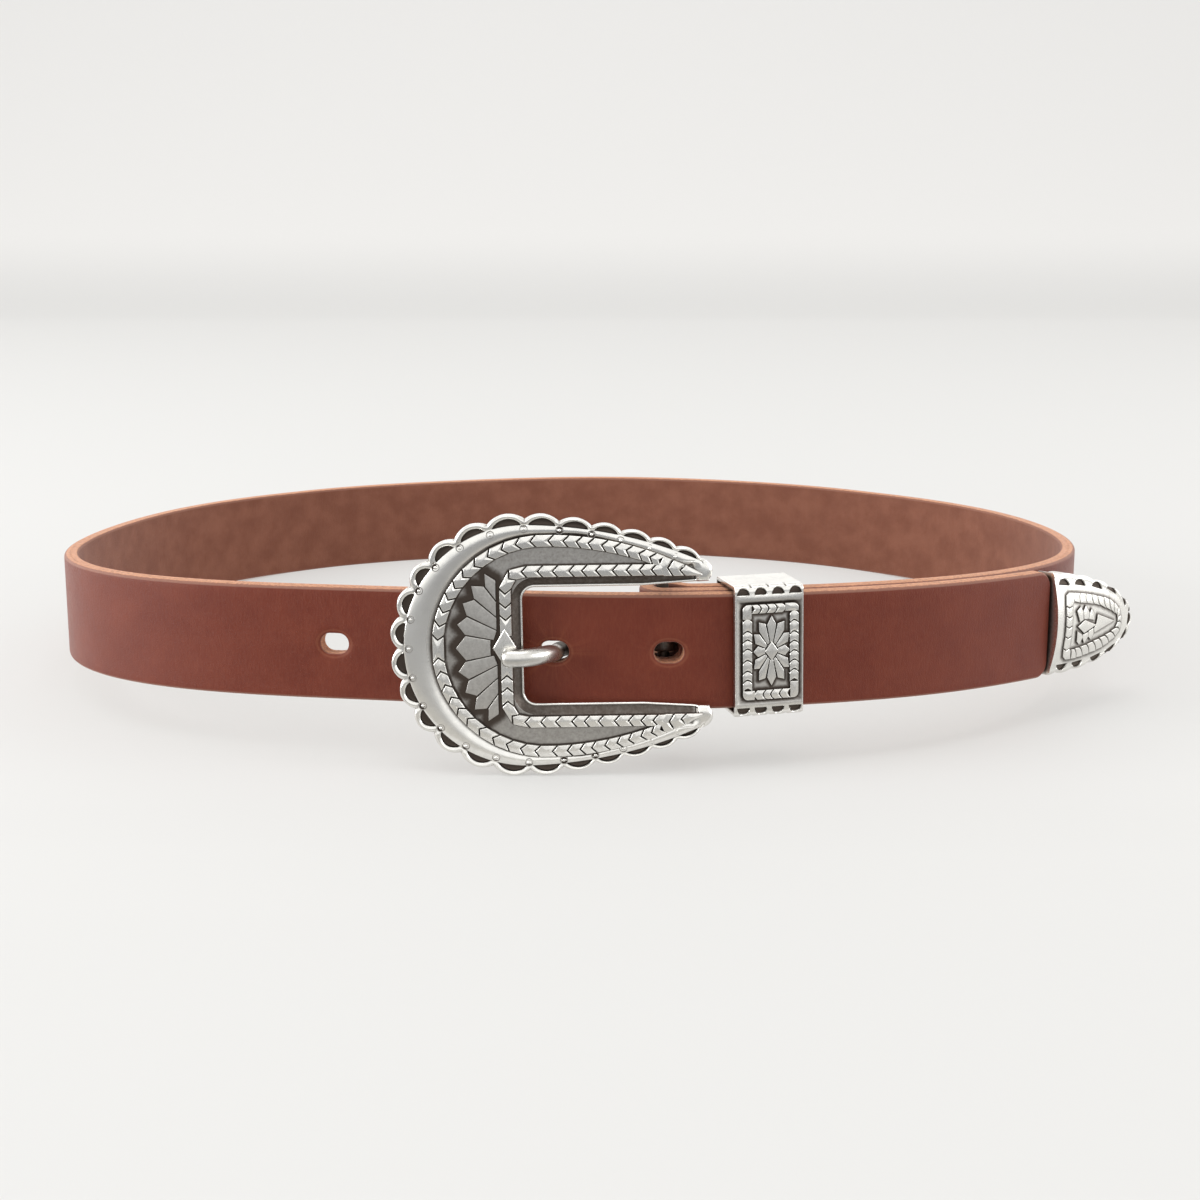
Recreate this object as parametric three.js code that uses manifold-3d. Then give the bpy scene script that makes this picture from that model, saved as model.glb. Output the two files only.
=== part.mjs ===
// A western leather belt with a cast buckle, keeper and tip, fastened into a loop and standing on its edge.
// Millimetres. +X runs to the right along the buckle, +Y goes back through the loop, +Z is up.

import * as THREE from 'three';
import { mergeVertices } from 'three/addons/utils/BufferGeometryUtils.js';
import Module from 'manifold-3d';

const wasm = await Module();
wasm.setup();

// The strap, a one inch belt of heavy leather
const STRAP_WIDTH = 25.4;
const STRAP_THICKNESS = 3.5;
const STRAP_BEVEL = 0.8;
const GAP = 0.3;
const PLY = STRAP_THICKNESS + GAP;

// How far a raised body runs into the plate under it, and how far a cut runs past a face
const SINK = 0.3;
const PAST_FACE = 1;

// The loop as it stands: a near-round plan, whose radius is a mean and six waves round the turn
const LOOP_CENTRE = new THREE.Vector2(-6.5, 100.44);
const LOOP_MEAN_RADIUS = 122.32;
const LOOP_WAVES = [
  { cos: 1.06, sin: 1.24 },
  { cos: 13.71, sin: -0.41 },
  { cos: -1.02, sin: -1.68 },
  { cos: -1.45, sin: 0.66 },
  { cos: 0.92, sin: -0.53 },
  { cos: -1.39, sin: -0.07 },
];
const LOOP_STEP = 6;

// The buckle is deeper than the strap, so it lifts the front, and the loop leans back with it
const FRONT_RISE = 13.42;
const FLAT_FROM_Y = 185;
const RISE_POWER = 1.3;
const LEAN = THREE.MathUtils.degToRad(3.38);
const UP = new THREE.Vector3(0, Math.sin(LEAN), Math.cos(LEAN));

// Where the strap's parts lie round the turn, in degrees
const BAR_TURN = -79;
const TAIL_LEVEL_TURN = -75.2;
const TAIL_END_TURN = -64.8;
const UNDER_PLY_TO_TURN = -35;
const ON_LINE_FROM_TURN = 25;
const TAIL_TURNS = [TAIL_END_TURN, -67.4, -70, -72.6, TAIL_LEVEL_TURN, -76.2, -77.2, -78.2];
const AFTER_FOLD_TURNS = [-76, -73];
const BILLET_FROM_TURN = 228;
const LEAVE_TURN = -43.8;
const END_RADIUS = 160;
const END_RUN = 24;

// Oval holes, a hole pitch apart, with the prong in the middle one
const HOLE_PITCH = 25;
const HOLE_LENGTH = 6.6;
const HOLE_HEIGHT = 4.7;
const HOLES_EACH_SIDE = 2;
const SLOT_HEIGHT = 5.8;

// The buckle's bar, and the leather folded round it
const BAR_RADIUS = 1.3;
const FOLD_INNER_RADIUS = 1.8;
const FOLD_OUTER_RADIUS = FOLD_INNER_RADIUS + STRAP_THICKNESS;

// The rivet through the fold's two plies
const RIVET_TURN = -75.4;
const RIVET_POST_RADIUS = 1.3;
const RIVET_HEAD_RADIUS = 2.5;
const RIVET_HEAD = 0.8;
const RIVET_SIDES = 16;

const SILVER = { color: 0xc9c6bf, roughness: 0.32, metalness: 1 };
const LEATHER = { color: 0x7a3d2c, roughness: 0.55, metalness: 0 };

// Solids and cuts

/** A closed body from rings of equal length, stacked in order, whose two ends are flat caps. */
function loftRings(rings) {
  const count = rings[0].length;
  const positions = rings.flat().flatMap((point) => [point.x, point.y, point.z]);
  const index = [];
  for (let level = 0; level < rings.length - 1; level += 1) {
    for (let side = 0; side < count; side += 1) {
      const a = level * count + side;
      const b = level * count + ((side + 1) % count);
      index.push(a, b, b + count, a, b + count, a + count);
    }
  }
  const last = (rings.length - 1) * count;
  for (let side = 1; side < count - 1; side += 1) {
    index.push(0, side + 1, side);
    index.push(last, last + side, last + side + 1);
  }
  const geometry = new THREE.BufferGeometry();
  geometry.setAttribute('position', new THREE.Float32BufferAttribute(positions, 3));
  geometry.setIndex(index);
  return geometry;
}

/** Turns a closed geometry into a solid that can be joined and cut. */
function solid(geometry) {
  const bare = geometry.clone();
  bare.deleteAttribute('normal');
  bare.deleteAttribute('uv');
  const merged = mergeVertices(bare, 1e-5);
  return new wasm.Manifold(new wasm.Mesh({
    numProp: 3,
    vertProperties: new Float32Array(merged.attributes.position.array),
    triVerts: new Uint32Array(merged.index.array),
  }));
}

/** Turns a solid back into a geometry for a mesh. */
function geometryOf(body) {
  const mesh = body.getMesh();
  const geometry = new THREE.BufferGeometry();
  geometry.setAttribute('position', new THREE.Float32BufferAttribute(mesh.vertProperties, 3));
  geometry.setIndex(new THREE.Uint32BufferAttribute(mesh.triVerts, 1));
  geometry.computeVertexNormals();
  return geometry;
}

/** A flat outline carried from one depth to another. */
function prism(points, from, to) {
  const geometry = new THREE.ExtrudeGeometry(new THREE.Shape(points), {
    depth: to - from,
    bevelEnabled: false,
  });
  geometry.translate(0, 0, from);
  return solid(geometry);
}

/** Rings joined as a wall, with caps that may be hollow-sided outlines. */
function capped(rings) {
  const count = rings[0].length;
  const geometry = loftRings(rings);
  const wall = Array.from(geometry.index.array).slice(0, (rings.length - 1) * count * 6);
  const faces = THREE.ShapeUtils.triangulateShape(rings[0].map((p) => new THREE.Vector2(p.x, p.y)), []);
  const last = (rings.length - 1) * count;
  faces.forEach(([a, b, c]) => {
    wall.push(a, c, b);
    wall.push(last + a, last + b, last + c);
  });
  geometry.setIndex(wall);
  return geometry;
}

/** Puts an outline in counter-clockwise order. */
function counterClockwise(points) {
  return THREE.ShapeUtils.isClockWise(points) ? points.slice().reverse() : points;
}

/** A rhomb by its half width and half height. */
function rhomb(wide, high) {
  return [[wide, 0], [0, high], [-wide, 0], [0, -high]].map(([x, y]) => new THREE.Vector2(x, y));
}

/** The same outline on the other side of the middle line. */
function mirrored(points) {
  return points.map((point) => new THREE.Vector2(point.x, -point.y)).reverse();
}

// The loop's plan

/** The reference line: the outermost ply's outer face, at a turn in degrees. */
function loopPoint(turn) {
  const angle = THREE.MathUtils.degToRad(turn);
  const radius = LOOP_WAVES.reduce(
    (sum, wave, k) => sum + wave.cos * Math.cos((k + 1) * angle) + wave.sin * Math.sin((k + 1) * angle),
    LOOP_MEAN_RADIUS,
  );
  return new THREE.Vector2(Math.cos(angle), Math.sin(angle)).multiplyScalar(radius).add(LOOP_CENTRE);
}

/** The way along the reference line, as a unit vector. */
function loopHeading(turn) {
  return loopPoint(turn + 0.01).sub(loopPoint(turn - 0.01)).normalize();
}

/** Height of the strap's lower edge: flat on the ground at the back, rising smoothly to the front. */
function edgeHeight(y) {
  return FRONT_RISE * Math.max((FLAT_FROM_Y - y) / FLAT_FROM_Y, 0) ** RISE_POWER;
}

/** A point of the strap's plan, inset from the reference line, with its heading and edge height. */
function loopStation(turn, inset) {
  const heading = loopHeading(turn);
  const onLine = loopPoint(turn);
  const inward = new THREE.Vector2(-heading.y, heading.x);
  return { at: onLine.clone().addScaledVector(inward, inset), heading, height: edgeHeight(onLine.y) };
}

/** The strap's axes at a station: along its falling edge, square up to that, and out of its face. */
function axesAt(station) {
  const fall = edgeHeight(station.at.y + station.heading.y) - edgeHeight(station.at.y);
  const along = new THREE.Vector3(station.heading.x, station.heading.y, fall).normalize();
  const up = UP.clone().addScaledVector(along, -UP.dot(along)).normalize();
  return { along, up, out: new THREE.Vector3().crossVectors(along, up) };
}

/** Eases from 0 to 1 as a value goes from one end to the other. */
function ease(value, from, to) {
  return THREE.MathUtils.smoothstep(value, from, to);
}

/** How far the main ply lies under the reference line: one ply under the billet, then on the line. */
function mainInset(turn) {
  return PLY * (1 - ease(turn, UNDER_PLY_TO_TURN, ON_LINE_FROM_TURN));
}

const BAR_STATION = loopStation(BAR_TURN, PLY + FOLD_OUTER_RADIUS);
const TAIL_INSET = 2 * PLY + STRAP_THICKNESS;

/** Stations of the tail, from its end to the bar; its grain side faces into the loop. */
function tailStations() {
  const atBar = PLY + 2 * FOLD_OUTER_RADIUS;
  return TAIL_TURNS.map((turn) => {
    const inset = THREE.MathUtils.lerp(atBar, TAIL_INSET, ease(turn, BAR_TURN, TAIL_LEVEL_TURN));
    const station = loopStation(turn, inset);
    return { ...station, heading: station.heading.clone().negate() };
  });
}

/** Stations of the fold, half a turn round the bar. */
function foldStations() {
  const steps = 8;
  const start = Math.atan2(BAR_STATION.heading.y, BAR_STATION.heading.x) + Math.PI / 2;
  return Array.from({ length: steps + 1 }, (_, k) => {
    const angle = start + (Math.PI * k) / steps;
    const outward = new THREE.Vector2(Math.cos(angle), Math.sin(angle));
    return {
      at: BAR_STATION.at.clone().addScaledVector(outward, FOLD_OUTER_RADIUS),
      heading: new THREE.Vector2(-outward.y, outward.x),
      height: BAR_STATION.height,
    };
  });
}

/** Turns from one place to another, on the steps that every ply shares, so that plies stay parallel. */
function sharedTurns(from, to) {
  const turns = [];
  for (let turn = (Math.floor(from / LOOP_STEP) + 1) * LOOP_STEP; turn < to; turn += LOOP_STEP) {
    turns.push(turn);
  }
  return turns;
}

/** Stations once round the loop under the reference line, then along it as the billet. */
function loopStations() {
  const once = [...AFTER_FOLD_TURNS, ...sharedTurns(AFTER_FOLD_TURNS[1], BILLET_FROM_TURN)].map(
    (turn) => loopStation(turn, mainInset(turn)),
  );
  const billetTurns = [];
  for (let turn = BILLET_FROM_TURN; turn < 360 + LEAVE_TURN; turn += LOOP_STEP / 2) {
    billetTurns.push(turn);
  }
  return [...once, ...[...billetTurns, 360 + LEAVE_TURN].map((turn) => loopStation(turn, 0))];
}

/** Stations of the billet's free end, which bends less than the loop and leaves it. */
function endStations(run = END_RUN, steps = 5) {
  const leave = loopStation(LEAVE_TURN, 0);
  const start = Math.atan2(leave.heading.y, leave.heading.x);
  const centre = leave.at.clone().add(
    new THREE.Vector2(-leave.heading.y, leave.heading.x).multiplyScalar(END_RADIUS),
  );
  return Array.from({ length: steps }, (_, k) => {
    const angle = start + (run * (k + 1)) / steps / END_RADIUS;
    const heading = new THREE.Vector2(Math.cos(angle), Math.sin(angle));
    const outward = new THREE.Vector2(heading.y, -heading.x);
    const at = centre.clone().addScaledVector(outward, END_RADIUS);
    return { at, heading, height: edgeHeight(at.y) };
  });
}

/** A place on a station: the grain face, at the strap's middle height, with its axes in a matrix. */
function placeAt(station, rise = STRAP_WIDTH / 2) {
  const { along, up, out } = axesAt(station);
  const origin = new THREE.Vector3(station.at.x, station.at.y, station.height).addScaledVector(UP, rise);
  return new THREE.Matrix4().makeBasis(along, up, out).setPosition(origin);
}

// The strap

/** The ply's section at a station: a rectangle with its four edges bevelled. */
function strapRing(station, width = STRAP_WIDTH, skin = 0, thickness = STRAP_THICKNESS) {
  const inward = new THREE.Vector2(-station.heading.y, station.heading.x);
  const low = (STRAP_WIDTH - width) / 2;
  const high = low + width;
  const bevel = Math.min(STRAP_BEVEL, thickness / 3);
  const section = [
    [skin, low + bevel],
    [skin + bevel, low],
    [skin + thickness - bevel, low],
    [skin + thickness, low + bevel],
    [skin + thickness, high - bevel],
    [skin + thickness - bevel, high],
    [skin + bevel, high],
    [skin, high - bevel],
  ];
  const middle = new THREE.Vector3(station.at.x, station.at.y, station.height);
  middle.addScaledVector(UP, STRAP_WIDTH / 2);
  return section.map(([depth, rise]) => new THREE.Vector3(inward.x * depth, inward.y * depth, 0)
    .addScaledVector(station.up ?? UP, rise - STRAP_WIDTH / 2)
    .add(middle));
}

/** An oval with half-round ends, lying along X. */
function ovalOutline(length, height, segments = 8) {
  const radius = height / 2;
  const reach = length / 2 - radius;
  const points = [];
  for (let k = 0; k <= segments; k += 1) {
    const angle = -Math.PI / 2 + (Math.PI * k) / segments;
    points.push(new THREE.Vector2(reach + radius * Math.cos(angle), radius * Math.sin(angle)));
  }
  return [...points, ...points.map((point) => point.clone().negate())];
}

/** The turn at which a run of strap is reached from another turn, along the reference line. */
function turnAfter(turn, run) {
  const direction = Math.sign(run);
  let here = turn;
  let left = Math.abs(run);
  while (left > 0) {
    const next = here + direction * 0.05;
    left -= loopPoint(next).distanceTo(loopPoint(here));
    here = next;
  }
  return here;
}

const PRONG_HOLE_TURN = -91.9;
const FOLD_SLOT = { before: FOLD_OUTER_RADIUS - 1.5, after: FOLD_OUTER_RADIUS + 2, past: 1.2, shift: -0.45 };

// The billet's square end with its cut corners, and the thin tongue that the tip holds
const TONGUE_WIDTH = 18.6;
const TONGUE_SKIN = 0.9;
const TONGUE_THICKNESS = 1.7;
const TONGUE_LENGTH = 9;
const END_CORNER = 3.2;
const CORNER_PARTS = [0.45, 0.8, 0.95];
const CORNER_CUT = 1.2;
const CORNER_CUT_AT_END = 1.6;

function strapGeometry() {
  const end = endStations();
  const mouth = end[end.length - 1];
  const square = axesAt(mouth);
  const ahead = (distance) => ({
    ...mouth,
    at: mouth.at.clone().addScaledVector(mouth.heading, distance),
    height: mouth.height + (square.along.z * distance),
    up: square.up,
  });
  const rounded = CORNER_PARTS.map((part) => {
    const drop = END_CORNER * (1 - Math.sqrt(1 - part * part));
    return strapRing(ahead(-END_CORNER * (1 - part)), STRAP_WIDTH - CORNER_CUT * drop);
  });
  const rings = [
    ...[...tailStations(), ...foldStations(), ...loopStations(), ...end.slice(0, -1)].map(
      (station) => strapRing(station),
    ),
    ...rounded,
    strapRing(ahead(0), STRAP_WIDTH - CORNER_CUT_AT_END * END_CORNER),
    strapRing(ahead(0.02), TONGUE_WIDTH, TONGUE_SKIN, TONGUE_THICKNESS),
    strapRing(ahead(TONGUE_LENGTH), TONGUE_WIDTH, TONGUE_SKIN, TONGUE_THICKNESS),
  ];
  let body = solid(loftRings(rings));
  for (let k = -HOLES_EACH_SIDE; k <= HOLES_EACH_SIDE; k += 1) {
    const turn = k === 0 ? PRONG_HOLE_TURN : turnAfter(PRONG_HOLE_TURN, k * HOLE_PITCH);
    const cut = new THREE.ExtrudeGeometry(new THREE.Shape(ovalOutline(HOLE_LENGTH, HOLE_HEIGHT)), {
      depth: STRAP_THICKNESS + PAST_FACE,
      bevelEnabled: false,
    });
    cut.translate(0, 0, -STRAP_THICKNESS - GAP / 2);
    cut.applyMatrix4(placeAt(loopStation(turn, 0)));
    body = body.subtract(solid(cut));
  }
  const slot = new THREE.BoxGeometry(
    FOLD_SLOT.before + FOLD_SLOT.after,
    SLOT_HEIGHT,
    2 * FOLD_OUTER_RADIUS + FOLD_SLOT.past,
  );
  slot.translate((FOLD_SLOT.before - FOLD_SLOT.after) / 2, 0, FOLD_SLOT.shift);
  slot.applyMatrix4(placeAt(BAR_STATION));
  body = body.subtract(solid(slot));
  return geometryOf(body.subtract(rivetBody(GAP)));
}

/** The rivet's solid, or with an allowance the hole that it sits in; both heads are let in flush. */
function rivetBody(allowance = 0) {
  const outer = loopStation(RIVET_TURN, PLY);
  const depth = 2 * STRAP_THICKNESS + GAP;
  const skin = allowance > 0 ? PAST_FACE / 2 : 0;
  const profile = [
    [0, skin],
    [RIVET_HEAD_RADIUS + allowance, skin],
    [RIVET_HEAD_RADIUS + allowance, -RIVET_HEAD - allowance],
    [RIVET_POST_RADIUS + allowance, -RIVET_HEAD - allowance],
    [RIVET_POST_RADIUS + allowance, -depth + RIVET_HEAD + allowance],
    [RIVET_HEAD_RADIUS + allowance, -depth + RIVET_HEAD + allowance],
    [RIVET_HEAD_RADIUS + allowance, -depth - skin],
    [0, -depth - skin],
  ].map(([radius, z]) => new THREE.Vector2(radius, z)).reverse();
  const geometry = new THREE.LatheGeometry(profile, RIVET_SIDES);
  geometry.rotateX(Math.PI / 2);
  geometry.applyMatrix4(placeAt(outer));
  return solid(geometry);
}

// The buckle, in its own axes: u to the right, v up, w out of its face, with 0 at the level of the edge

const BUCKLE_PLACE = new THREE.Vector3(-10, -7.94, 28.8);
const BUCKLE_ROLL = THREE.MathUtils.degToRad(0.9);
const PLATE_BACK = -1.75;
const DOMED_BAND = { top: 0.5, over: 0.35, guideTo: 72, ringTo: 60, steps: 30 };
const RAIL_TOP = 1.1;
const BAR_U = 23.9;
const BAR_W = -11.25;
const BAR_SIDES = 12;
const LUG = { inner: 15.4, thick: 2.4, wide: 4 };

// The guide line of the scallops, from the middle of the left side over the top, as arcs
const GUIDE = {
  start: new THREE.Vector2(-31.2, 0),
  arcs: [{ radius: 25.7, turn: 90 }, { radius: 90, turn: 26 }],
};
const RING = {
  start: new THREE.Vector2(-24.8, 0),
  arcs: [{ radius: 23.1, turn: 90 }, { radius: 68, turn: 22 }],
};
const INNER_BAND = {
  start: new THREE.Vector2(-10.05, 0),
  arcs: [{ run: 12.6 }, { radius: 3.9, turn: 90 }, { run: 28 }],
};

// Scallops of the upper half, from the middle of the left side: length, and height over the guide line
const SCALLOPS = [
  { pitch: 6.4, cusp: 2.45, peak: 3.95 },
  { pitch: 6.4, cusp: 2.4, peak: 3.9 },
  { pitch: 6.1, cusp: 2.3, peak: 3.85 },
  { pitch: 6.7, cusp: 2.1, peak: 3.65 },
  { pitch: 7.1, cusp: 1.9, peak: 3.4 },
  { pitch: 7.6, cusp: 1.8, peak: 3.25 },
  { pitch: 7.2, cusp: 1.45, peak: 3 },
  { pitch: 6.9, cusp: 1.2, peak: 2.6 },
  { pitch: 6.3, cusp: 1.15, peak: 2.35 },
  { pitch: 6.3, cusp: 1.15, peak: 2.2 },
  { pitch: 5.7, cusp: 1.15, peak: 2.1 },
  { pitch: 5.6, cusp: 0.9, peak: 1.95 },
];
const FIRST_CUSP = 2.3;
const SCALLOP_STEPS = 6;
const SCALLOP_POWER = 0.8;
const MOON_RIM = 1.05;
const MOON_CHORD = 0.65;
const MOON_DEPTH = 0.7;
const MOON_MARGIN = 0.95;
const MOON_POWER = 0.7;
const MOON_STEPS = 5;

const ARM_END = { centre: new THREE.Vector2(31.6, 15.9), radius: 2.6, angles: [90, 45, 0, -43] };
const LIP = { left: -6.6, corner: 3, high: 13.5, highAtEnd: 14.1, pastArms: 12 };
const CORNER_ANGLES = [90, 112.5, 135, 157.5, 180];
const LIP_BEVEL = { wide: 1.7, drop: 1.3 };

const RAIL_HALF = 1.25;
const CHEVRON_LEAN = 0.55;
const CHEVRON_GROOVE = 0.28;

// Where the chevrons' points lie along each band, from the middle of its left side
const RING_POINTS = [
  2.1, 5.1, 8.2, 11.2, 14.1, 17.1, 20.5, 24, 27.3, 30.5,
  33.7, 37.5, 40.7, 43.5, 46, 48.9, 51.6, 54.2, 57, 59.4,
];
const BAND_POINTS = [6.2, 8.9, 11.9, 15.4, 18.6, 22, 25.2, 28.7, 31.4, 34.4, 37.9, 40.9, 43.6, 46.2, 48.6];
const BAND_FOOT = 2.6;
const MERGE = { points: [23.1, 24.9, 27.4, 32], high: 19.4, low: 15.1, tipHigh: 15.5 };

const DIAMOND = { u: -10.35, wide: 2.6, high: 4.35, top: 1.2 };
const FAN = { u: -4.5, edge: -12.05, groove: 0.28, beside: 9.1, least: 8.4 };
const PETALS = [
  { from: -11.2, to: 11.2, tip: 0, tipRadius: 16.4, near: 14.5, far: 14.5 },
  { from: 11.2, to: 26.8, tip: 18, tipRadius: 16.8, near: 14.7, far: 15.4 },
  { from: 26.8, to: 41.3, tip: 33.7, tipRadius: 17.6, near: 15.6, far: 16.1 },
  { from: 41.3, to: 53.4, tip: 46.8, tipRadius: 18.6, near: 16.4, far: 16.8 },
  { from: 53.4, to: 63, tip: 58.7, tipRadius: 18.9, near: 16.5, far: 16.6 },
];
const PETAL_TOP = 0.55;

/** Follows a chain of straight runs and clockwise arcs, and gives the point at a length and an offset. */
function chainPoint(chain, length, offset = 0) {
  const at = chain.start.clone();
  let angle = Math.PI / 2;
  let left = length;
  for (let k = 0; k < chain.arcs.length; k += 1) {
    const arc = chain.arcs[k];
    const isLast = k === chain.arcs.length - 1;
    const sweep = arc.radius ? THREE.MathUtils.degToRad(arc.turn) : 0;
    const full = arc.radius ? arc.radius * sweep : arc.run;
    const run = isLast ? left : Math.min(left, full);
    if (arc.radius) {
      const centre = at.clone().add(
        new THREE.Vector2(Math.sin(angle), -Math.cos(angle)).multiplyScalar(arc.radius),
      );
      angle -= run / arc.radius;
      at.copy(centre).add(new THREE.Vector2(-Math.sin(angle), Math.cos(angle)).multiplyScalar(arc.radius));
    } else {
      at.add(new THREE.Vector2(Math.cos(angle), Math.sin(angle)).multiplyScalar(run));
    }
    left -= run;
    if (left <= 0) {
      break;
    }
  }
  return at.add(new THREE.Vector2(-Math.sin(angle), Math.cos(angle)).multiplyScalar(offset));
}

/** The scallops with the length at which each starts and the height of the cusp before it. */
function placedScallops() {
  let start = 0;
  let before = FIRST_CUSP;
  return SCALLOPS.map((scallop) => {
    const placed = { ...scallop, start, before };
    start += scallop.pitch;
    before = scallop.cusp;
    return placed;
  });
}

/** Height of a scallop's edge over the guide line, at a part of its length from 0 to 1. */
function scallopHeight(scallop, part) {
  const base = THREE.MathUtils.lerp(scallop.before, scallop.cusp, part);
  const middle = (scallop.before + scallop.cusp) / 2;
  return base + (scallop.peak - middle) * Math.sin(Math.PI * part) ** SCALLOP_POWER;
}

/** The frame's outline: scallops over the top, an arm's end, the lip of the opening, and back below. */
function frameOutline() {
  const edge = placedScallops().flatMap((scallop) => Array.from({ length: SCALLOP_STEPS }, (_, k) => {
    const part = k / SCALLOP_STEPS;
    return chainPoint(GUIDE, scallop.start + part * scallop.pitch, scallopHeight(scallop, part));
  }));
  const end = ARM_END.angles.map((degrees) => {
    const angle = THREE.MathUtils.degToRad(degrees);
    return ARM_END.centre.clone().add(
      new THREE.Vector2(Math.cos(angle), Math.sin(angle)).multiplyScalar(ARM_END.radius),
    );
  });
  const upper = [...edge, ...end, ...lipCorner(0)];
  return counterClockwise([...upper, ...mirrored(upper).slice(0, -1)]);
}

/** The opening's upper left corner, from its top to its left side, widened by an offset. */
function lipCorner(offset) {
  const radius = LIP.corner + offset;
  const centre = new THREE.Vector2(LIP.left + LIP.corner, LIP.high - LIP.corner);
  return CORNER_ANGLES.map((degrees) => {
    const angle = THREE.MathUtils.degToRad(degrees);
    return centre.clone().add(new THREE.Vector2(Math.cos(angle), Math.sin(angle)).multiplyScalar(radius));
  });
}

/** The opening, widened by an offset and closed far to the right of the arms. */
function openingOutline(offset) {
  const far = ARM_END.centre.x + LIP.pastArms;
  const slope = (LIP.highAtEnd - LIP.high) / (ARM_END.centre.x - LIP.left);
  const upper = [new THREE.Vector2(far, LIP.high + offset + slope * (far - LIP.left)), ...lipCorner(offset)];
  return counterClockwise([...upper, ...mirrored(upper)]);
}

/** A half-moon inside a scallop: its chord along the guide line and its arc inside the rim. */
function moonOutline(scallop) {
  const margin = MOON_MARGIN / scallop.pitch;
  const high = scallop.peak - MOON_RIM - MOON_CHORD;
  const arc = Array.from({ length: MOON_STEPS + 1 }, (_, k) => {
    const part = k / MOON_STEPS;
    const along = scallop.start + scallop.pitch * (margin + (1 - 2 * margin) * part);
    return chainPoint(GUIDE, along, MOON_CHORD + high * Math.sin(Math.PI * part) ** MOON_POWER);
  });
  return counterClockwise(arc);
}

/** One block of a chevron band, between two lengths, with its point towards the band's start. */
function chevronOutline(chain, from, to) {
  const side = 2 * CHEVRON_LEAN;
  return counterClockwise([
    chainPoint(chain, from + side, RAIL_HALF),
    chainPoint(chain, from, 0),
    chainPoint(chain, from + side, -RAIL_HALF),
    chainPoint(chain, to + side - CHEVRON_GROOVE, -RAIL_HALF),
    chainPoint(chain, to - CHEVRON_GROOVE, 0),
    chainPoint(chain, to + side - CHEVRON_GROOVE, RAIL_HALF),
  ]);
}

/** The blocks of a band's upper half. */
function chevronRow(chain, points) {
  return points.slice(0, -1).map((from, k) => chevronOutline(chain, from, points[k + 1]));
}

/** The blocks in which both bands run together to a point near the arm's end. */
function mergedBlocks() {
  const first = MERGE.points[0];
  const last = MERGE.points[MERGE.points.length - 1];
  const top = (u) => THREE.MathUtils.mapLinear(u, first, last, MERGE.high, MERGE.tipHigh);
  const edge = (u) => [
    new THREE.Vector2(u + 2 * CHEVRON_LEAN, top(u)),
    new THREE.Vector2(u, (top(u) + MERGE.low) / 2),
    new THREE.Vector2(u + 2 * CHEVRON_LEAN, MERGE.low),
  ];
  return MERGE.points.slice(0, -1).map((from, k) => {
    const to = MERGE.points[k + 1];
    const front = to === last
      ? [new THREE.Vector2(last, MERGE.low), new THREE.Vector2(last, MERGE.tipHigh)]
      : edge(to - CHEVRON_GROOVE).reverse();
    return counterClockwise([...edge(from), ...front]);
  });
}

const LEAST_EDGE = 0.02;

/** A petal between two rays from a centre, with a point at its far end and its near end cut by a curve. */
function petalOutline(centre, petal, startRadius, groove) {
  const place = (degrees, radius) => {
    const angle = THREE.MathUtils.degToRad(degrees);
    return new THREE.Vector2(Math.cos(angle), Math.sin(angle)).multiplyScalar(radius).add(centre);
  };
  const half = THREE.MathUtils.radToDeg(groove / 2 / petal.near);
  const from = petal.from + half;
  const to = petal.to - half;
  const close = startRadius(to);
  return counterClockwise([
    place(from, startRadius(from)),
    place(from, petal.near),
    place(petal.tip, petal.tipRadius),
    place(to, Math.max(petal.far, close + LEAST_EDGE)),
    place(to, close),
  ]);
}

/** The nine petals of the buckle's fan, which faces left. */
function fanPetals() {
  const start = (petal) => (degrees) => (petal.tip === 0
    ? FAN.beside
    : Math.max((FAN.u - FAN.edge) / Math.cos(THREE.MathUtils.degToRad(degrees)), FAN.least));
  const centre = new THREE.Vector2(-FAN.u, 0);
  return PETALS.flatMap((petal) => {
    const right = petalOutline(centre, petal, start(petal), FAN.groove);
    const left = counterClockwise(right.map((point) => new THREE.Vector2(-point.x, point.y)));
    return petal.tip === 0 ? [left] : [left, mirrored(left)];
  });
}

/** The band between the half-moons and the outer chevrons, raised like a flat dome. */
function raisedBandOutline() {
  const parts = Array.from({ length: DOMED_BAND.steps + 1 }, (_, k) => k / DOMED_BAND.steps);
  const outer = parts.map((part) => chainPoint(GUIDE, DOMED_BAND.guideTo * part, DOMED_BAND.over));
  const inner = parts.map((part) => chainPoint(RING, DOMED_BAND.ringTo * part, 0));
  return counterClockwise([
    ...mirrored(outer).slice(0, -1),
    ...outer,
    ...inner.slice().reverse(),
    ...mirrored(inner.slice(1).reverse()),
  ]);
}

/** The bar behind the opening and the two lugs that carry it. */
function barBodies() {
  const bar = new THREE.CylinderGeometry(BAR_RADIUS, BAR_RADIUS, 2 * LUG.inner + LUG.thick, BAR_SIDES);
  bar.translate(BAR_U, 0, BAR_W);
  const lugs = [1, -1].map((side) => {
    const back = BAR_W - BAR_RADIUS;
    const front = PLATE_BACK / 2;
    const lug = new THREE.BoxGeometry(LUG.wide, LUG.thick, front - back);
    lug.translate(BAR_U, side * (LUG.inner + LUG.thick / 2), (front + back) / 2);
    return solid(lug);
  });
  return [solid(bar), ...lugs];
}

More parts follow.
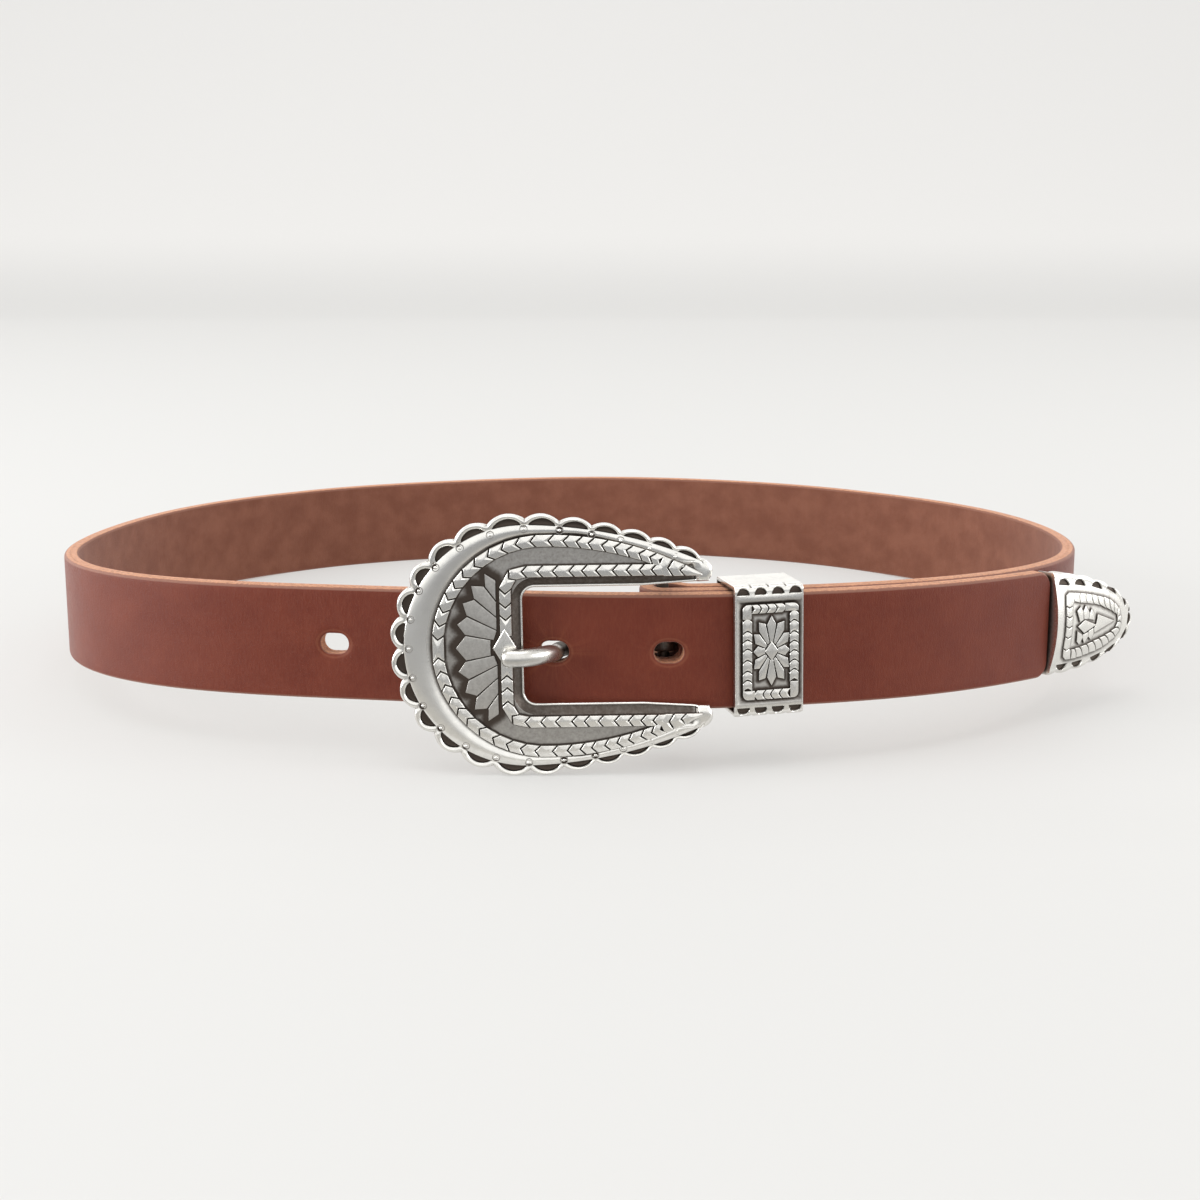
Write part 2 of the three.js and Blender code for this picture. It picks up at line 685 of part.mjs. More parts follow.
function buckleGeometry() {
  let body = prism(frameOutline(), PLATE_BACK, 0);
  body = body.add(prism(raisedBandOutline(), -SINK, DOMED_BAND.top));
  const flare = (offset, depth) => openingOutline(offset).map((p) => new THREE.Vector3(p.x, p.y, depth));
  const bevel = [flare(0, -LIP_BEVEL.drop), flare(LIP_BEVEL.wide, 0), flare(LIP_BEVEL.wide, PAST_FACE)];
  body = body.subtract(solid(capped(bevel)));
  const halves = (outlines) => [...outlines, ...outlines.map(mirrored)];
  const ringFoot = (length, offset) => chainPoint(RING, RING_POINTS[0] - CHEVRON_GROOVE + length, offset);
  const ringMiddle = [
    ringFoot(2 * CHEVRON_LEAN, RAIL_HALF),
    ringFoot(0, 0),
    ringFoot(2 * CHEVRON_LEAN, -RAIL_HALF),
  ];
  const rails = [
    ...halves(chevronRow(RING, RING_POINTS)),
    ...halves(chevronRow(INNER_BAND, BAND_POINTS)),
    ...halves(mergedBlocks()),
    counterClockwise([...ringMiddle, ...mirrored(ringMiddle)]),
  ];
  const bandEnd = BAND_POINTS[0] - CHEVRON_GROOVE;
  rails.push(...halves([counterClockwise([
    chainPoint(INNER_BAND, BAND_FOOT, RAIL_HALF),
    chainPoint(INNER_BAND, BAND_FOOT, -RAIL_HALF),
    chainPoint(INNER_BAND, bandEnd + 2 * CHEVRON_LEAN, -RAIL_HALF),
    chainPoint(INNER_BAND, bandEnd, 0),
    chainPoint(INNER_BAND, bandEnd + 2 * CHEVRON_LEAN, RAIL_HALF),
  ])]));
  rails.forEach((outline) => {
    body = body.add(prism(outline, -SINK, RAIL_TOP));
  });
  fanPetals().forEach((outline) => {
    body = body.add(prism(outline, -SINK, PETAL_TOP));
  });
  const diamond = rhomb(DIAMOND.wide, DIAMOND.high).map(
    (point) => point.add(new THREE.Vector2(DIAMOND.u, 0)),
  );
  body = body.add(prism(diamond, -SINK, DIAMOND.top));
  placedScallops().forEach((scallop) => {
    const moon = moonOutline(scallop);
    body = body.subtract(prism(moon, -MOON_DEPTH, PAST_FACE));
    body = body.subtract(prism(mirrored(moon), -MOON_DEPTH, PAST_FACE));
  });
  barBodies().forEach((piece) => {
    body = body.add(piece);
  });
  return geometryOf(body);
}

// The prong, in the buckle's axes

const PRONG_V = -1.7;
const PRONG_SIDES = 10;
const PRONG_EYE_SEGMENTS = 10;
const PRONG_EYE_RADIUS = 3.1;
const PRONG_EYE_WIDTH = 3.6;
const PRONG_ROUTE = [
  { u: -11.2, w: 3.4, radius: 0.6 },
  { u: -10.9, w: 3.42, radius: 1.3 },
  { u: -10.2, w: 3.45, radius: 1.8 },
  { u: -9.2, w: 3.48, radius: 1.95 },
  { u: -7, w: 3.35, radius: 1.95 },
  { u: -4.6, w: 2.0, radius: 1.9 },
  { u: -2.7, w: 0.1, radius: 1.8 },
  { u: -1.3, w: -2.4, radius: 1.7 },
  { u: -0.2, w: -5.0, radius: 1.65 },
  { u: 1.1, w: -7.4, radius: 1.65 },
  { u: 3.2, w: -9.1, radius: 1.65 },
  { u: 6.4, w: -9.8, radius: 1.6 },
  { u: 13, w: -10.4, radius: 1.6 },
  { u: 21.4, w: -11, radius: 1.6 },
];

function prongGeometry() {
  const rings = PRONG_ROUTE.map((row, k) => {
    const before = PRONG_ROUTE[Math.max(k - 1, 0)];
    const after = PRONG_ROUTE[Math.min(k + 1, PRONG_ROUTE.length - 1)];
    const way = new THREE.Vector2(after.u - before.u, after.w - before.w).normalize();
    return Array.from({ length: PRONG_SIDES }, (_, side) => {
      const angle = (-2 * Math.PI * side) / PRONG_SIDES;
      const across = row.radius * Math.cos(angle);
      return new THREE.Vector3(row.u - way.y * across, row.radius * Math.sin(angle), row.w + way.x * across);
    });
  });
  const eye = new THREE.Shape().absarc(0, 0, PRONG_EYE_RADIUS, 0, 2 * Math.PI);
  eye.holes.push(new THREE.Path().absarc(0, 0, BAR_RADIUS + GAP, 0, 2 * Math.PI, true));
  const ring = new THREE.ExtrudeGeometry(eye, {
    depth: PRONG_EYE_WIDTH,
    bevelEnabled: false,
    curveSegments: PRONG_EYE_SEGMENTS,
  });
  ring.translate(0, 0, -PRONG_EYE_WIDTH / 2);
  ring.rotateX(Math.PI / 2);
  ring.translate(BAR_U, 0, BAR_W);
  const geometry = geometryOf(solid(loftRings(rings)).add(solid(ring)));
  geometry.translate(0, PRONG_V, 0);
  return geometry;
}

// The keeper, in its own axes: u along the strap, v up, w out of its face, with 0 at the face's edge

const KEEPER_TURN = -67.7;
const KEEPER_YAW = THREE.MathUtils.degToRad(1.2);
const KEEPER_HALF_WIDTH = 7.7;
const KEEPER_HALF_HEIGHT = 14.5;
const KEEPER_WALL = 1;
const KEEPER_FRONT = 1.3;
const KEEPER_CORNER = 2;
const KEEPER_INNER_CORNER = 0.9;
const KEEPER_CLEARANCE = 0.65;
const KEEPER_DEPTH = KEEPER_FRONT + 3 * STRAP_THICKNESS + 2 * GAP + 2 * KEEPER_CLEARANCE + KEEPER_WALL;
const KEEPER_RISE = 0.5;
const KEEPER_ROLL = THREE.MathUtils.degToRad(1.5);
const KEEPER_MOONS = { pitch: 3.9, count: 4, chord: 12.75, wide: 2.5, high: 1.3, depth: 0.6 };
const ROPE = { u: 0.15, wide: 6.35, high: 10.25, band: 2.1, top: 0.6, lean: 0.3, across: 4, down: 7 };
const ROPE_CORNER = { half: 0.95, radius: 0.7, steps: 2 };
const FLOWER = { u: 0.5, wide: 1.6, high: 2.2, top: 0.4, heart: 0.55, groove: 0.2 };
const FLOWER_PETALS = [
  { from: 78.5, to: 101.5, tip: 90, tipRadius: 7.8, near: 5.9, far: 5.9 },
  { from: 56, to: 78.5, tip: 65.8, tipRadius: 7.1, near: 5.3, far: 6.2 },
  { from: 24, to: 56, tip: 44, tipRadius: 5.6, near: 4.1, far: 4.7 },
  { from: -24, to: 24, tip: 0, tipRadius: 4.15, near: 3.3, far: 3.3 },
];

/** A rectangle with rounded corners. */
function roundedRectangle(halfWide, halfHigh, radius, steps = 4) {
  const points = [];
  [[1, 1, 0], [-1, 1, 90], [-1, -1, 180], [1, -1, 270]].forEach(([x, y, from]) => {
    for (let k = 0; k <= steps; k += 1) {
      const angle = THREE.MathUtils.degToRad(from + (90 * k) / steps);
      points.push(new THREE.Vector2(
        x * (halfWide - radius) + radius * Math.cos(angle),
        y * (halfHigh - radius) + radius * Math.sin(angle),
      ));
    }
  });
  return points;
}

/** A half-moon with its chord at a height, bulging away from the middle. */
function halfMoon(u, v, wide, high) {
  return Array.from({ length: MOON_STEPS + 1 }, (_, k) => {
    const angle = (Math.PI * k) / MOON_STEPS;
    return new THREE.Vector2(u + (wide / 2) * Math.cos(angle), v + high * Math.sin(angle));
  });
}

/** Radius at which a ray from a rhomb's middle leaves it, with a little to spare. */
function rhombEdge(wide, high, spare) {
  return (degrees) => {
    const angle = THREE.MathUtils.degToRad(degrees);
    return 1 / (Math.abs(Math.cos(angle)) / wide + Math.abs(Math.sin(angle)) / high) + spare;
  };
}

/** The keeper's twelve petals. */
function flowerPetals() {
  const start = rhombEdge(FLOWER.wide, FLOWER.high, FLOWER.groove);
  return FLOWER_PETALS.flatMap((petal) => {
    const outline = petalOutline(new THREE.Vector2(), petal, start, FLOWER.groove);
    const half = petal.tip % 90 === 0 ? [outline] : [outline, mirrored(outline)];
    const turned = half.map((points) => points.map((point) => point.clone().negate()));
    return [...half, ...turned];
  });
}

/** The rope border's blocks round a rectangle. */
function ropeBlocks() {
  const half = ROPE.band / 2;
  const middle = { wide: ROPE.wide - half, high: ROPE.high - half };
  const sides = [
    {
      count: ROPE.across,
      length: 2 * (middle.wide - half),
      place: (s, o) => new THREE.Vector2(s, middle.high + o),
    },
    {
      count: ROPE.down,
      length: 2 * (middle.high - half),
      place: (s, o) => new THREE.Vector2(middle.wide + o, -s),
    },
  ];
  const blocks = sides.flatMap(({ count, length, place }) => Array.from({ length: count }, (_, k) => {
    const from = -length / 2 + (length * k) / count;
    const to = from + length / count - CHEVRON_GROOVE;
    return counterClockwise([
      place(from + ROPE.lean, half),
      place(from - ROPE.lean, 0),
      place(from + ROPE.lean, -half),
      place(to + ROPE.lean, -half),
      place(to - ROPE.lean, 0),
      place(to + ROPE.lean, half),
    ]);
  }));
  const turned = blocks.map((outline) => outline.map((point) => point.clone().negate()));
  const corners = [[1, 1], [-1, 1], [-1, -1], [1, -1]].map(([x, y]) => counterClockwise(
    roundedRectangle(
      ROPE_CORNER.half,
      ROPE_CORNER.half,
      ROPE_CORNER.radius,
      ROPE_CORNER.steps,
    ).map((point) => new THREE.Vector2(
      x * middle.wide + point.x,
      y * middle.high + point.y,
    )),
  ));
  return [...blocks, ...turned, ...corners].map(
    (outline) => outline.map((point) => point.clone().add(new THREE.Vector2(ROPE.u, 0))),
  );
}

function keeperGeometry() {
  const loopShape = new THREE.Shape(roundedRectangle(KEEPER_DEPTH / 2, KEEPER_HALF_HEIGHT, KEEPER_CORNER));
  const inner = {
    wide: (KEEPER_DEPTH - KEEPER_FRONT - KEEPER_WALL) / 2,
    shift: (KEEPER_FRONT - KEEPER_WALL) / 2,
  };
  const hole = roundedRectangle(
    inner.wide,
    KEEPER_HALF_HEIGHT - KEEPER_WALL,
    KEEPER_INNER_CORNER,
  ).map((point) => new THREE.Vector2(point.x + inner.shift, point.y));
  loopShape.holes.push(new THREE.Path(hole.reverse()));
  const loop = new THREE.ExtrudeGeometry(loopShape, { depth: 2 * KEEPER_HALF_WIDTH, bevelEnabled: false });
  loop.translate(KEEPER_DEPTH / 2, 0, -KEEPER_HALF_WIDTH);
  loop.rotateY(Math.PI / 2);
  let body = solid(loop);
  ropeBlocks().forEach((outline) => {
    body = body.add(prism(outline, -SINK, ROPE.top));
  });
  const flower = [
    ...flowerPetals().map((outline) => ({ outline, top: FLOWER.top })),
    { outline: rhomb(FLOWER.wide, FLOWER.high), top: FLOWER.heart },
  ];
  flower.forEach(({ outline, top }) => {
    const moved = outline.map((point) => point.clone().add(new THREE.Vector2(FLOWER.u, 0)));
    body = body.add(prism(moved, -SINK, top));
  });
  for (let k = 0; k < KEEPER_MOONS.count; k += 1) {
    const u = (k - (KEEPER_MOONS.count - 1) / 2) * KEEPER_MOONS.pitch;
    const moon = halfMoon(u, KEEPER_MOONS.chord, KEEPER_MOONS.wide, KEEPER_MOONS.high);
    body = body.subtract(prism(moon, -KEEPER_MOONS.depth, PAST_FACE));
    body = body.subtract(prism(mirrored(moon), -KEEPER_MOONS.depth, PAST_FACE));
  }
  return geometryOf(body);
}

/** Where the keeper's face sits: over the billet, turned a little further than the strap. */
function keeperMatrix() {
  const station = loopStation(KEEPER_TURN, -KEEPER_CLEARANCE - KEEPER_FRONT);
  const heading = station.heading.clone().rotateAround(new THREE.Vector2(), KEEPER_YAW);
  const roll = new THREE.Matrix4().makeRotationZ(KEEPER_ROLL);
  return placeAt({ ...station, heading }, STRAP_WIDTH / 2 + KEEPER_RISE).multiply(roll);
}

// The tip, in its own axes: u along the strap from its mouth, v up, w out, with 0 at the leather's face

const TIP_LENGTH = 33.5;
const TIP_HALF_HEIGHT = 12.3;
const TIP_POWER = 1.9;
const TIP_DIP = THREE.MathUtils.degToRad(-1.8);
const TIP_DROP = -0.5;
const TIP_GAP = 0.65;
const TIP_EDGE = 0.3;
const TIP_DOME = 2.1;
const TIP_FALL = 0.35;
const TIP_SPINE = 0.62;
const TIP_LEVELS = [0, 0.12, 0.35, 0.65, 0.97];
const TIP_BACK = -STRAP_THICKNESS - 0.5;
const TIP_POCKET = { height: 21.2, gap: 0.35, open: 1 };

// Scallops of the tip: where their cusps and their half-moons lie along it, on both sides
const TIP_CUSPS = [2.9, 9.4, 15.9, 22.3, 27.4, 31.8];
const TIP_MOONS = [6.2, 12.5, 19.3, 25.1, 29.7];
const TIP_SCALLOP = { height: 0.6, steps: 4, power: 0.7 };
const TIP_MOON = { wide: 3.4, high: 1.2, inset: 2.1, depth: 0.6, step: 0.01 };
const TIP_ROPE = { inset: 4, half: 0.9, from: 0.125, blocks: 19, gap: 0.006, top: 0.45 };
const TIP_COLUMN = { u: 4.7, wide: 1.9, high: 14.4, blocks: 5 };
const TIP_FLOWER = { u: 13.2, wide: 2.7, high: 1.7, top: 0.35, groove: 0.2 };
const TIP_PETALS = [
  { from: -21, to: 21, tip: 0, tipRadius: 11.6, near: 5.6, far: 5.6 },
  { from: 48, to: 74, tip: 62, tipRadius: 5.2, near: 3.9, far: 4.3 },
  { from: 74, to: 106, tip: 90, tipRadius: 5.2, near: 4, far: 4 },
  { from: 106, to: 136, tip: 120, tipRadius: 5.4, near: 4.3, far: 4.2 },
];

/** Half the tip's height at a distance from its mouth. */
function tipHalf(u, length = TIP_LENGTH, half = TIP_HALF_HEIGHT) {
  return half * Math.sqrt(Math.max(1 - Math.max(u / length, 0) ** TIP_POWER, 0));
}

/** A point of the tip's edge by its share from the lower mouth (0) to the upper mouth (1), drawn in. */
function tipEdge(share, inset = 0) {
  const angle = Math.PI * (share - 0.5);
  const length = TIP_LENGTH - inset;
  const half = TIP_HALF_HEIGHT - inset;
  const run = Math.cos(angle) ** (2 / TIP_POWER) * length;
  return new THREE.Vector2(run, Math.sign(angle) * tipHalf(run, length, half));
}

/** The share of the tip's edge that lies at a distance from its mouth, on its upper side. */
function tipShare(u) {
  return 0.5 + Math.acos((u / TIP_LENGTH) ** (TIP_POWER / 2)) / Math.PI;
}

/** The tip's outline with its scallops, from the lower mouth round to the upper mouth. */
function tipOutline() {
  const upper = TIP_CUSPS.map(tipShare);
  const cusps = [...upper.map((share) => 1 - share), ...upper.reverse()];
  const parts = Array.from({ length: TIP_SCALLOP.steps }, (_, j) => j / TIP_SCALLOP.steps);
  const scalloped = cusps.slice(0, -1).flatMap((from, k) => parts.map((part) => {
    const bulge = Math.sin(Math.PI * part) ** TIP_SCALLOP.power;
    return tipEdge(from + (cusps[k + 1] - from) * part, TIP_SCALLOP.height * (1 - bulge));
  }));
  return counterClockwise([
    new THREE.Vector2(0, -TIP_HALF_HEIGHT),
    ...scalloped,
    tipEdge(cusps[cusps.length - 1], TIP_SCALLOP.height),
    new THREE.Vector2(0, TIP_HALF_HEIGHT),
  ]);
}

/** The front's height over a point, domed across the tip and falling a little to its end. */
function domeHeight(u, v) {
  const half = TIP_HALF_HEIGHT;
  return TIP_EDGE + TIP_DOME * (1 - (v / half) ** 2) * (1 - TIP_FALL * (u / TIP_LENGTH) ** 2);
}

/** The domed front over the outline, as nested rings of the outline from its edge to its middle line. */
function tipFront(outline) {
  const spine = outline.map((point) => new THREE.Vector2(Math.min(point.x, TIP_LENGTH * TIP_SPINE), 0));
  const ring = (share) => outline.map((point, k) => {
    const at = point.clone().lerp(spine[k], share);
    return new THREE.Vector3(at.x, at.y, domeHeight(at.x, at.y));
  });
  const foot = outline.map((point) => new THREE.Vector3(point.x, point.y, TIP_BACK));
  return solid(capped([foot, ...TIP_LEVELS.map(ring)]));
}

function tipGeometry() {
  const outline = tipOutline();
  let body = tipFront(outline);
  const pocket = new THREE.BoxGeometry(
    TONGUE_LENGTH + TIP_POCKET.open + TIP_POCKET.gap,
    TIP_POCKET.height,
    TONGUE_THICKNESS + 2 * TIP_POCKET.gap,
  );
  pocket.translate(
    (TONGUE_LENGTH - TIP_POCKET.open + TIP_POCKET.gap) / 2,
    0,
    -TONGUE_SKIN - TONGUE_THICKNESS / 2,
  );
  body = body.subtract(solid(pocket));
  const upper = TIP_MOONS.map(tipShare);
  [...upper, 0.5, ...upper.map((share) => 1 - share)].forEach((share) => {
    const at = tipEdge(share, TIP_MOON.inset);
    const ahead = tipEdge(share + TIP_MOON.step, TIP_MOON.inset);
    const facing = Math.atan2(ahead.y - at.y, ahead.x - at.x) - Math.PI;
    const moon = halfMoon(0, 0, TIP_MOON.wide, TIP_MOON.high).map(
      (point) => point.clone().rotateAround(new THREE.Vector2(), facing).add(at),
    );
    const floor = domeHeight(at.x, at.y) - TIP_MOON.depth;
    body = body.subtract(prism(counterClockwise(moon), floor, floor + TIP_EDGE + TIP_DOME));
  });
  tipRelief().forEach(({ outline: shape, top }) => {
    const middle = shape.reduce((sum, point) => sum.add(point), new THREE.Vector2());
    middle.divideScalar(shape.length);
    body = body.add(prism(shape, -SINK, domeHeight(middle.x, middle.y) + top));
  });
  return geometryOf(body);
}

/** The tip's rope border and flower, as flat outlines with their height over the dome. */
function tipRelief() {
  const rope = Array.from({ length: TIP_ROPE.blocks }, (_, k) => {
    const step = (1 - 2 * TIP_ROPE.from) / TIP_ROPE.blocks;
    const from = TIP_ROPE.from + k * step;
    const to = from + step - TIP_ROPE.gap;
    const edge = (share, offset) => tipEdge(share, TIP_ROPE.inset - offset);
    return counterClockwise([
      edge(from, TIP_ROPE.half),
      edge(from, -TIP_ROPE.half),
      edge(to, -TIP_ROPE.half),
      edge(to, TIP_ROPE.half),
    ]);
  });
  const low = (k) => -TIP_COLUMN.high / 2 + (TIP_COLUMN.high * k) / TIP_COLUMN.blocks;
  const column = Array.from({ length: TIP_COLUMN.blocks }, (_, k) => {
    const left = TIP_COLUMN.u - TIP_COLUMN.wide / 2;
    const right = TIP_COLUMN.u + TIP_COLUMN.wide / 2;
    const high = low(k + 1) - CHEVRON_GROOVE;
    return [[left, low(k)], [right, low(k)], [right, high], [left, high]].map(
      ([x, y]) => new THREE.Vector2(x, y),
    );
  });
  const centre = new THREE.Vector2(TIP_FLOWER.u, 0);
  const start = rhombEdge(TIP_FLOWER.wide, TIP_FLOWER.high, TIP_FLOWER.groove);
  const petals = TIP_PETALS.flatMap((petal) => {
    const outline = petalOutline(centre, petal, start, TIP_FLOWER.groove);
    return petal.tip === 0 ? [outline] : [outline, mirrored(outline)];
  });
  const diamond = rhomb(TIP_FLOWER.wide, TIP_FLOWER.high).map((point) => point.add(centre));
  return [
    ...[...rope, ...column].map((outline) => ({ outline, top: TIP_ROPE.top })),
    ...[...petals, diamond].map((outline) => ({ outline, top: TIP_FLOWER.top })),
  ];
}

/** Where the tip sits: at the billet's end, dipping a little, with the leather's tongue in its pocket. */
function tipMatrix() {
  const end = endStations();
  const mouth = end[end.length - 1];
  const at = mouth.at.clone().addScaledVector(mouth.heading, TIP_GAP);
  const dip = new THREE.Matrix4().makeRotationZ(TIP_DIP);
  return placeAt({ ...mouth, at }, STRAP_WIDTH / 2 + TIP_DROP).multiply(dip);
}

// The whole belt

/** A named piece in its own material. */
function piece(name, geometry, finish) {
  const mesh = new THREE.Mesh(geometry, new THREE.MeshStandardMaterial(finish));
  mesh.name = name;
  return mesh;
}

/** A group in the buckle's place, leaning with the strap and rolled a little. */
function buckleGroup() {
  const group = new THREE.Group();
  group.position.copy(BUCKLE_PLACE);
  group.rotation.x = Math.PI / 2 - LEAN;
  const rolled = new THREE.Group();
  rolled.rotation.z = BUCKLE_ROLL;
  rolled.add(piece('buckle_frame', buckleGeometry(), SILVER), piece('prong', prongGeometry(), SILVER));
  group.add(rolled);
  return group;
}

const belt = new THREE.Group();
const keeper = piece('keeper', keeperGeometry(), SILVER);
keeper.applyMatrix4(keeperMatrix());
const tip = piece('tip', tipGeometry(), SILVER);
tip.applyMatrix4(tipMatrix());
const rivet = piece('tail_rivet', geometryOf(rivetBody()), SILVER);
belt.add(piece('strap', strapGeometry(), LEATHER), buckleGroup(), keeper, tip, rivet);

// The origin is the middle of the belt's box, on the ground
belt.updateMatrixWorld(true);
const bounds = new THREE.Box3().setFromObject(belt, true);
const middle = bounds.getCenter(new THREE.Vector3());
belt.position.set(-middle.x, -middle.y, -bounds.min.z);

export default belt;
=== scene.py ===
"""A western leather belt with a cast silver buckle, keeper and tip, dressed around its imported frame.

Each class holds one piece's sizes in millimetres, in axes of its own, and lays its surfaces out as arrays.
`Place` carries them into the row frame, in metres.
"""

import logging
import math
from dataclasses import dataclass, field
from enum import Enum
from typing import Any, Callable, Sequence

import bmesh
import bpy
import numpy as np
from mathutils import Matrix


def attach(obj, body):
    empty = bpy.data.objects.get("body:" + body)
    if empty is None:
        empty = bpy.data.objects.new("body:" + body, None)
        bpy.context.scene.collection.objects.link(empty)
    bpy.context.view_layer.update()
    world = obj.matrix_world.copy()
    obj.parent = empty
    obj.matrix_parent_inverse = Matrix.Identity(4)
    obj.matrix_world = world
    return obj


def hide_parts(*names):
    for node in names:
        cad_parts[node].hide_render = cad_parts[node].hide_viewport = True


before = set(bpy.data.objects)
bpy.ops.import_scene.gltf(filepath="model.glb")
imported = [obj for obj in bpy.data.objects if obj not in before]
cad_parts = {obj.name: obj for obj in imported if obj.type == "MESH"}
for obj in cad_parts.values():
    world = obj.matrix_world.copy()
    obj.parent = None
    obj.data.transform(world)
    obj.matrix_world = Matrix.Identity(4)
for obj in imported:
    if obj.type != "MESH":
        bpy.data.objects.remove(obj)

Array = np.ndarray
Pair = tuple[float, float]
Triple = tuple[float, float, float]
Four = tuple[float, float, float, float]
Material = bpy.types.Material
Object = bpy.types.Object
LOG = logging.getLogger("belt")

MM = 0.001
BODY = "root"

# The row frame's origin, as seen from the middle of the strap's plan
ROW_ORIGIN = np.array([3.936, -99.692, 0.027])

STRAP_WIDTH = 25.4
STRAP_MIDDLE = STRAP_WIDTH / 2
STRAP_THICKNESS = 3.5
GAP = 0.3
PLY = STRAP_THICKNESS + GAP
LEAN = math.radians(3.38)
UP = np.array([0.0, math.sin(LEAN), math.cos(LEAN)])
FAR = 9.0
MERGE_DISTANCE = 2e-7


# Small formulas


def line_share(value: Array, low: float, high: float) -> Array:
    """Goes straight from 0 to 1 as a value goes from one end to the other."""
    return np.clip((np.asarray(value, float) - low) / (high - low), 0.0, 1.0)


def ease(value: Array | float, low: float, high: float) -> Array:
    """Goes smoothly from 0 to 1 as a value goes from one end to the other: 3t^2 - 2t^3."""
    share = line_share(value, low, high)
    return share * share * (3.0 - 2.0 * share)


def blend(start: Array, end: Array, share: Array | float) -> Array:
    """A straight mix: start + (end - start) * share."""
    return start + (end - start) * share


def hill(distance: Array, width: float) -> Array:
    """A smooth hill of height 1: exp(-(distance / width)^2)."""
    return np.exp(-((distance / width) ** 2))


def most(*fields: Array | float) -> Array:
    """The largest of several fields at each point."""
    return np.maximum.reduce(np.broadcast_arrays(*fields))


def unit(vectors: Array) -> Array:
    """The vectors at length 1."""
    return vectors / np.maximum(np.linalg.norm(vectors, axis=-1, keepdims=True), 1e-12)


def around(angle: Array | float) -> Array:
    """Points (cos, sin) of the unit circle at angles in radians."""
    return np.stack([np.cos(angle), np.sin(angle)], axis=-1)


def full_turn(count: int) -> Array:
    """Angles shared out evenly round a full turn."""
    return np.linspace(0.0, 2 * math.pi, count, endpoint=False)


def left_of(headings: Array) -> Array:
    """Flat headings turned a quarter to the left."""
    return np.stack([-headings[..., 1], headings[..., 0]], axis=-1)


def mirrored(points: Array) -> Array:
    """The same points on the other side of the middle line."""
    return points * np.array([1.0, -1.0])


def lengths_along(points: Array) -> Array:
    """Length along a line of points to each of them."""
    return np.concatenate([[0.0], np.cumsum(np.linalg.norm(np.diff(points, axis=0), axis=1))])


def between(wanted: Array, known: Array, points: Array) -> Array:
    """Points of a line at wanted lengths, from its points at known lengths."""
    return np.stack([np.interp(wanted, known, points[:, k]) for k in (0, 1)], axis=-1)


def counter_clockwise(outline: Array) -> Array:
    """Puts a closed outline in counter-clockwise order, by the sign of its area."""
    following = np.roll(outline, -1, axis=0)
    area = np.sum(outline[:, 0] * following[:, 1] - following[:, 0] * outline[:, 1])
    return outline if area > 0 else outline[::-1]


def smooth_through(at: Array, values: Array, wanted: Array) -> Array:
    """A smooth line through points: each stretch is a cubic whose slopes are those between its neighbours.

    Args:
        at: Where the values are known, rising.
        values: The values there.
        wanted: Where they are wanted.

    Returns:
        The values at the wanted places.
    """
    slopes = np.gradient(values, at)
    k = np.clip(np.searchsorted(at, wanted) - 1, 0, len(at) - 2)
    run = at[k + 1] - at[k]
    t = np.clip((wanted - at[k]) / run, 0.0, 1.0)
    start = values[k] * (1 + 2 * t) * (1 - t) ** 2 + slopes[k] * run * t * (1 - t) ** 2
    return start + values[k + 1] * t * t * (3 - 2 * t) + slopes[k + 1] * run * t * t * (t - 1)


def distance_to(points: Array, outlines: Sequence[Array], batch: int = 4000) -> Array:
    """Distance from each point to the nearest edge of any outline.

    Each edge is a + t * (b - a) with t held between 0 and 1 at the point's foot.

    Args:
        points: Points (n, 2).
        outlines: Closed outlines.
        batch: How many points are measured at once.

    Returns:
        Distances (n,).
    """
    starts = np.concatenate(outlines)
    along = np.concatenate([np.roll(o, -1, axis=0) for o in outlines]) - starts
    squared = np.maximum(np.sum(along * along, axis=1), 1e-9)
    nearest = np.full(len(points), np.inf)
    for low in range(0, len(points), batch):
        offset = points[low : low + batch, None, :] - starts[None, :, :]
        t = np.clip(np.sum(offset * along[None], axis=2) / squared, 0.0, 1.0)
        gap = offset - t[..., None] * along[None]
        nearest[low : low + batch] = np.sqrt(np.min(np.sum(gap * gap, axis=2), axis=1))
    return nearest


@dataclass(frozen=True)
class Place:
    """Axes of a piece: where they start, and their u, v and w directions as rows."""

    origin: Array
    axes: Array

    def world(self, points: Array) -> Array:
        """Points in the piece's millimetres, as metres in the row frame."""
        return (points @ self.axes + self.origin + ROW_ORIGIN) * MM

    def rolled(self, degrees: float) -> "Place":
        """The same axes turned about w."""
        c, s = math.cos(math.radians(degrees)), math.sin(math.radians(degrees))
        return Place(self.origin, np.array([[c, s, 0.0], [-s, c, 0.0], [0.0, 0.0, 1.0]]) @ self.axes)


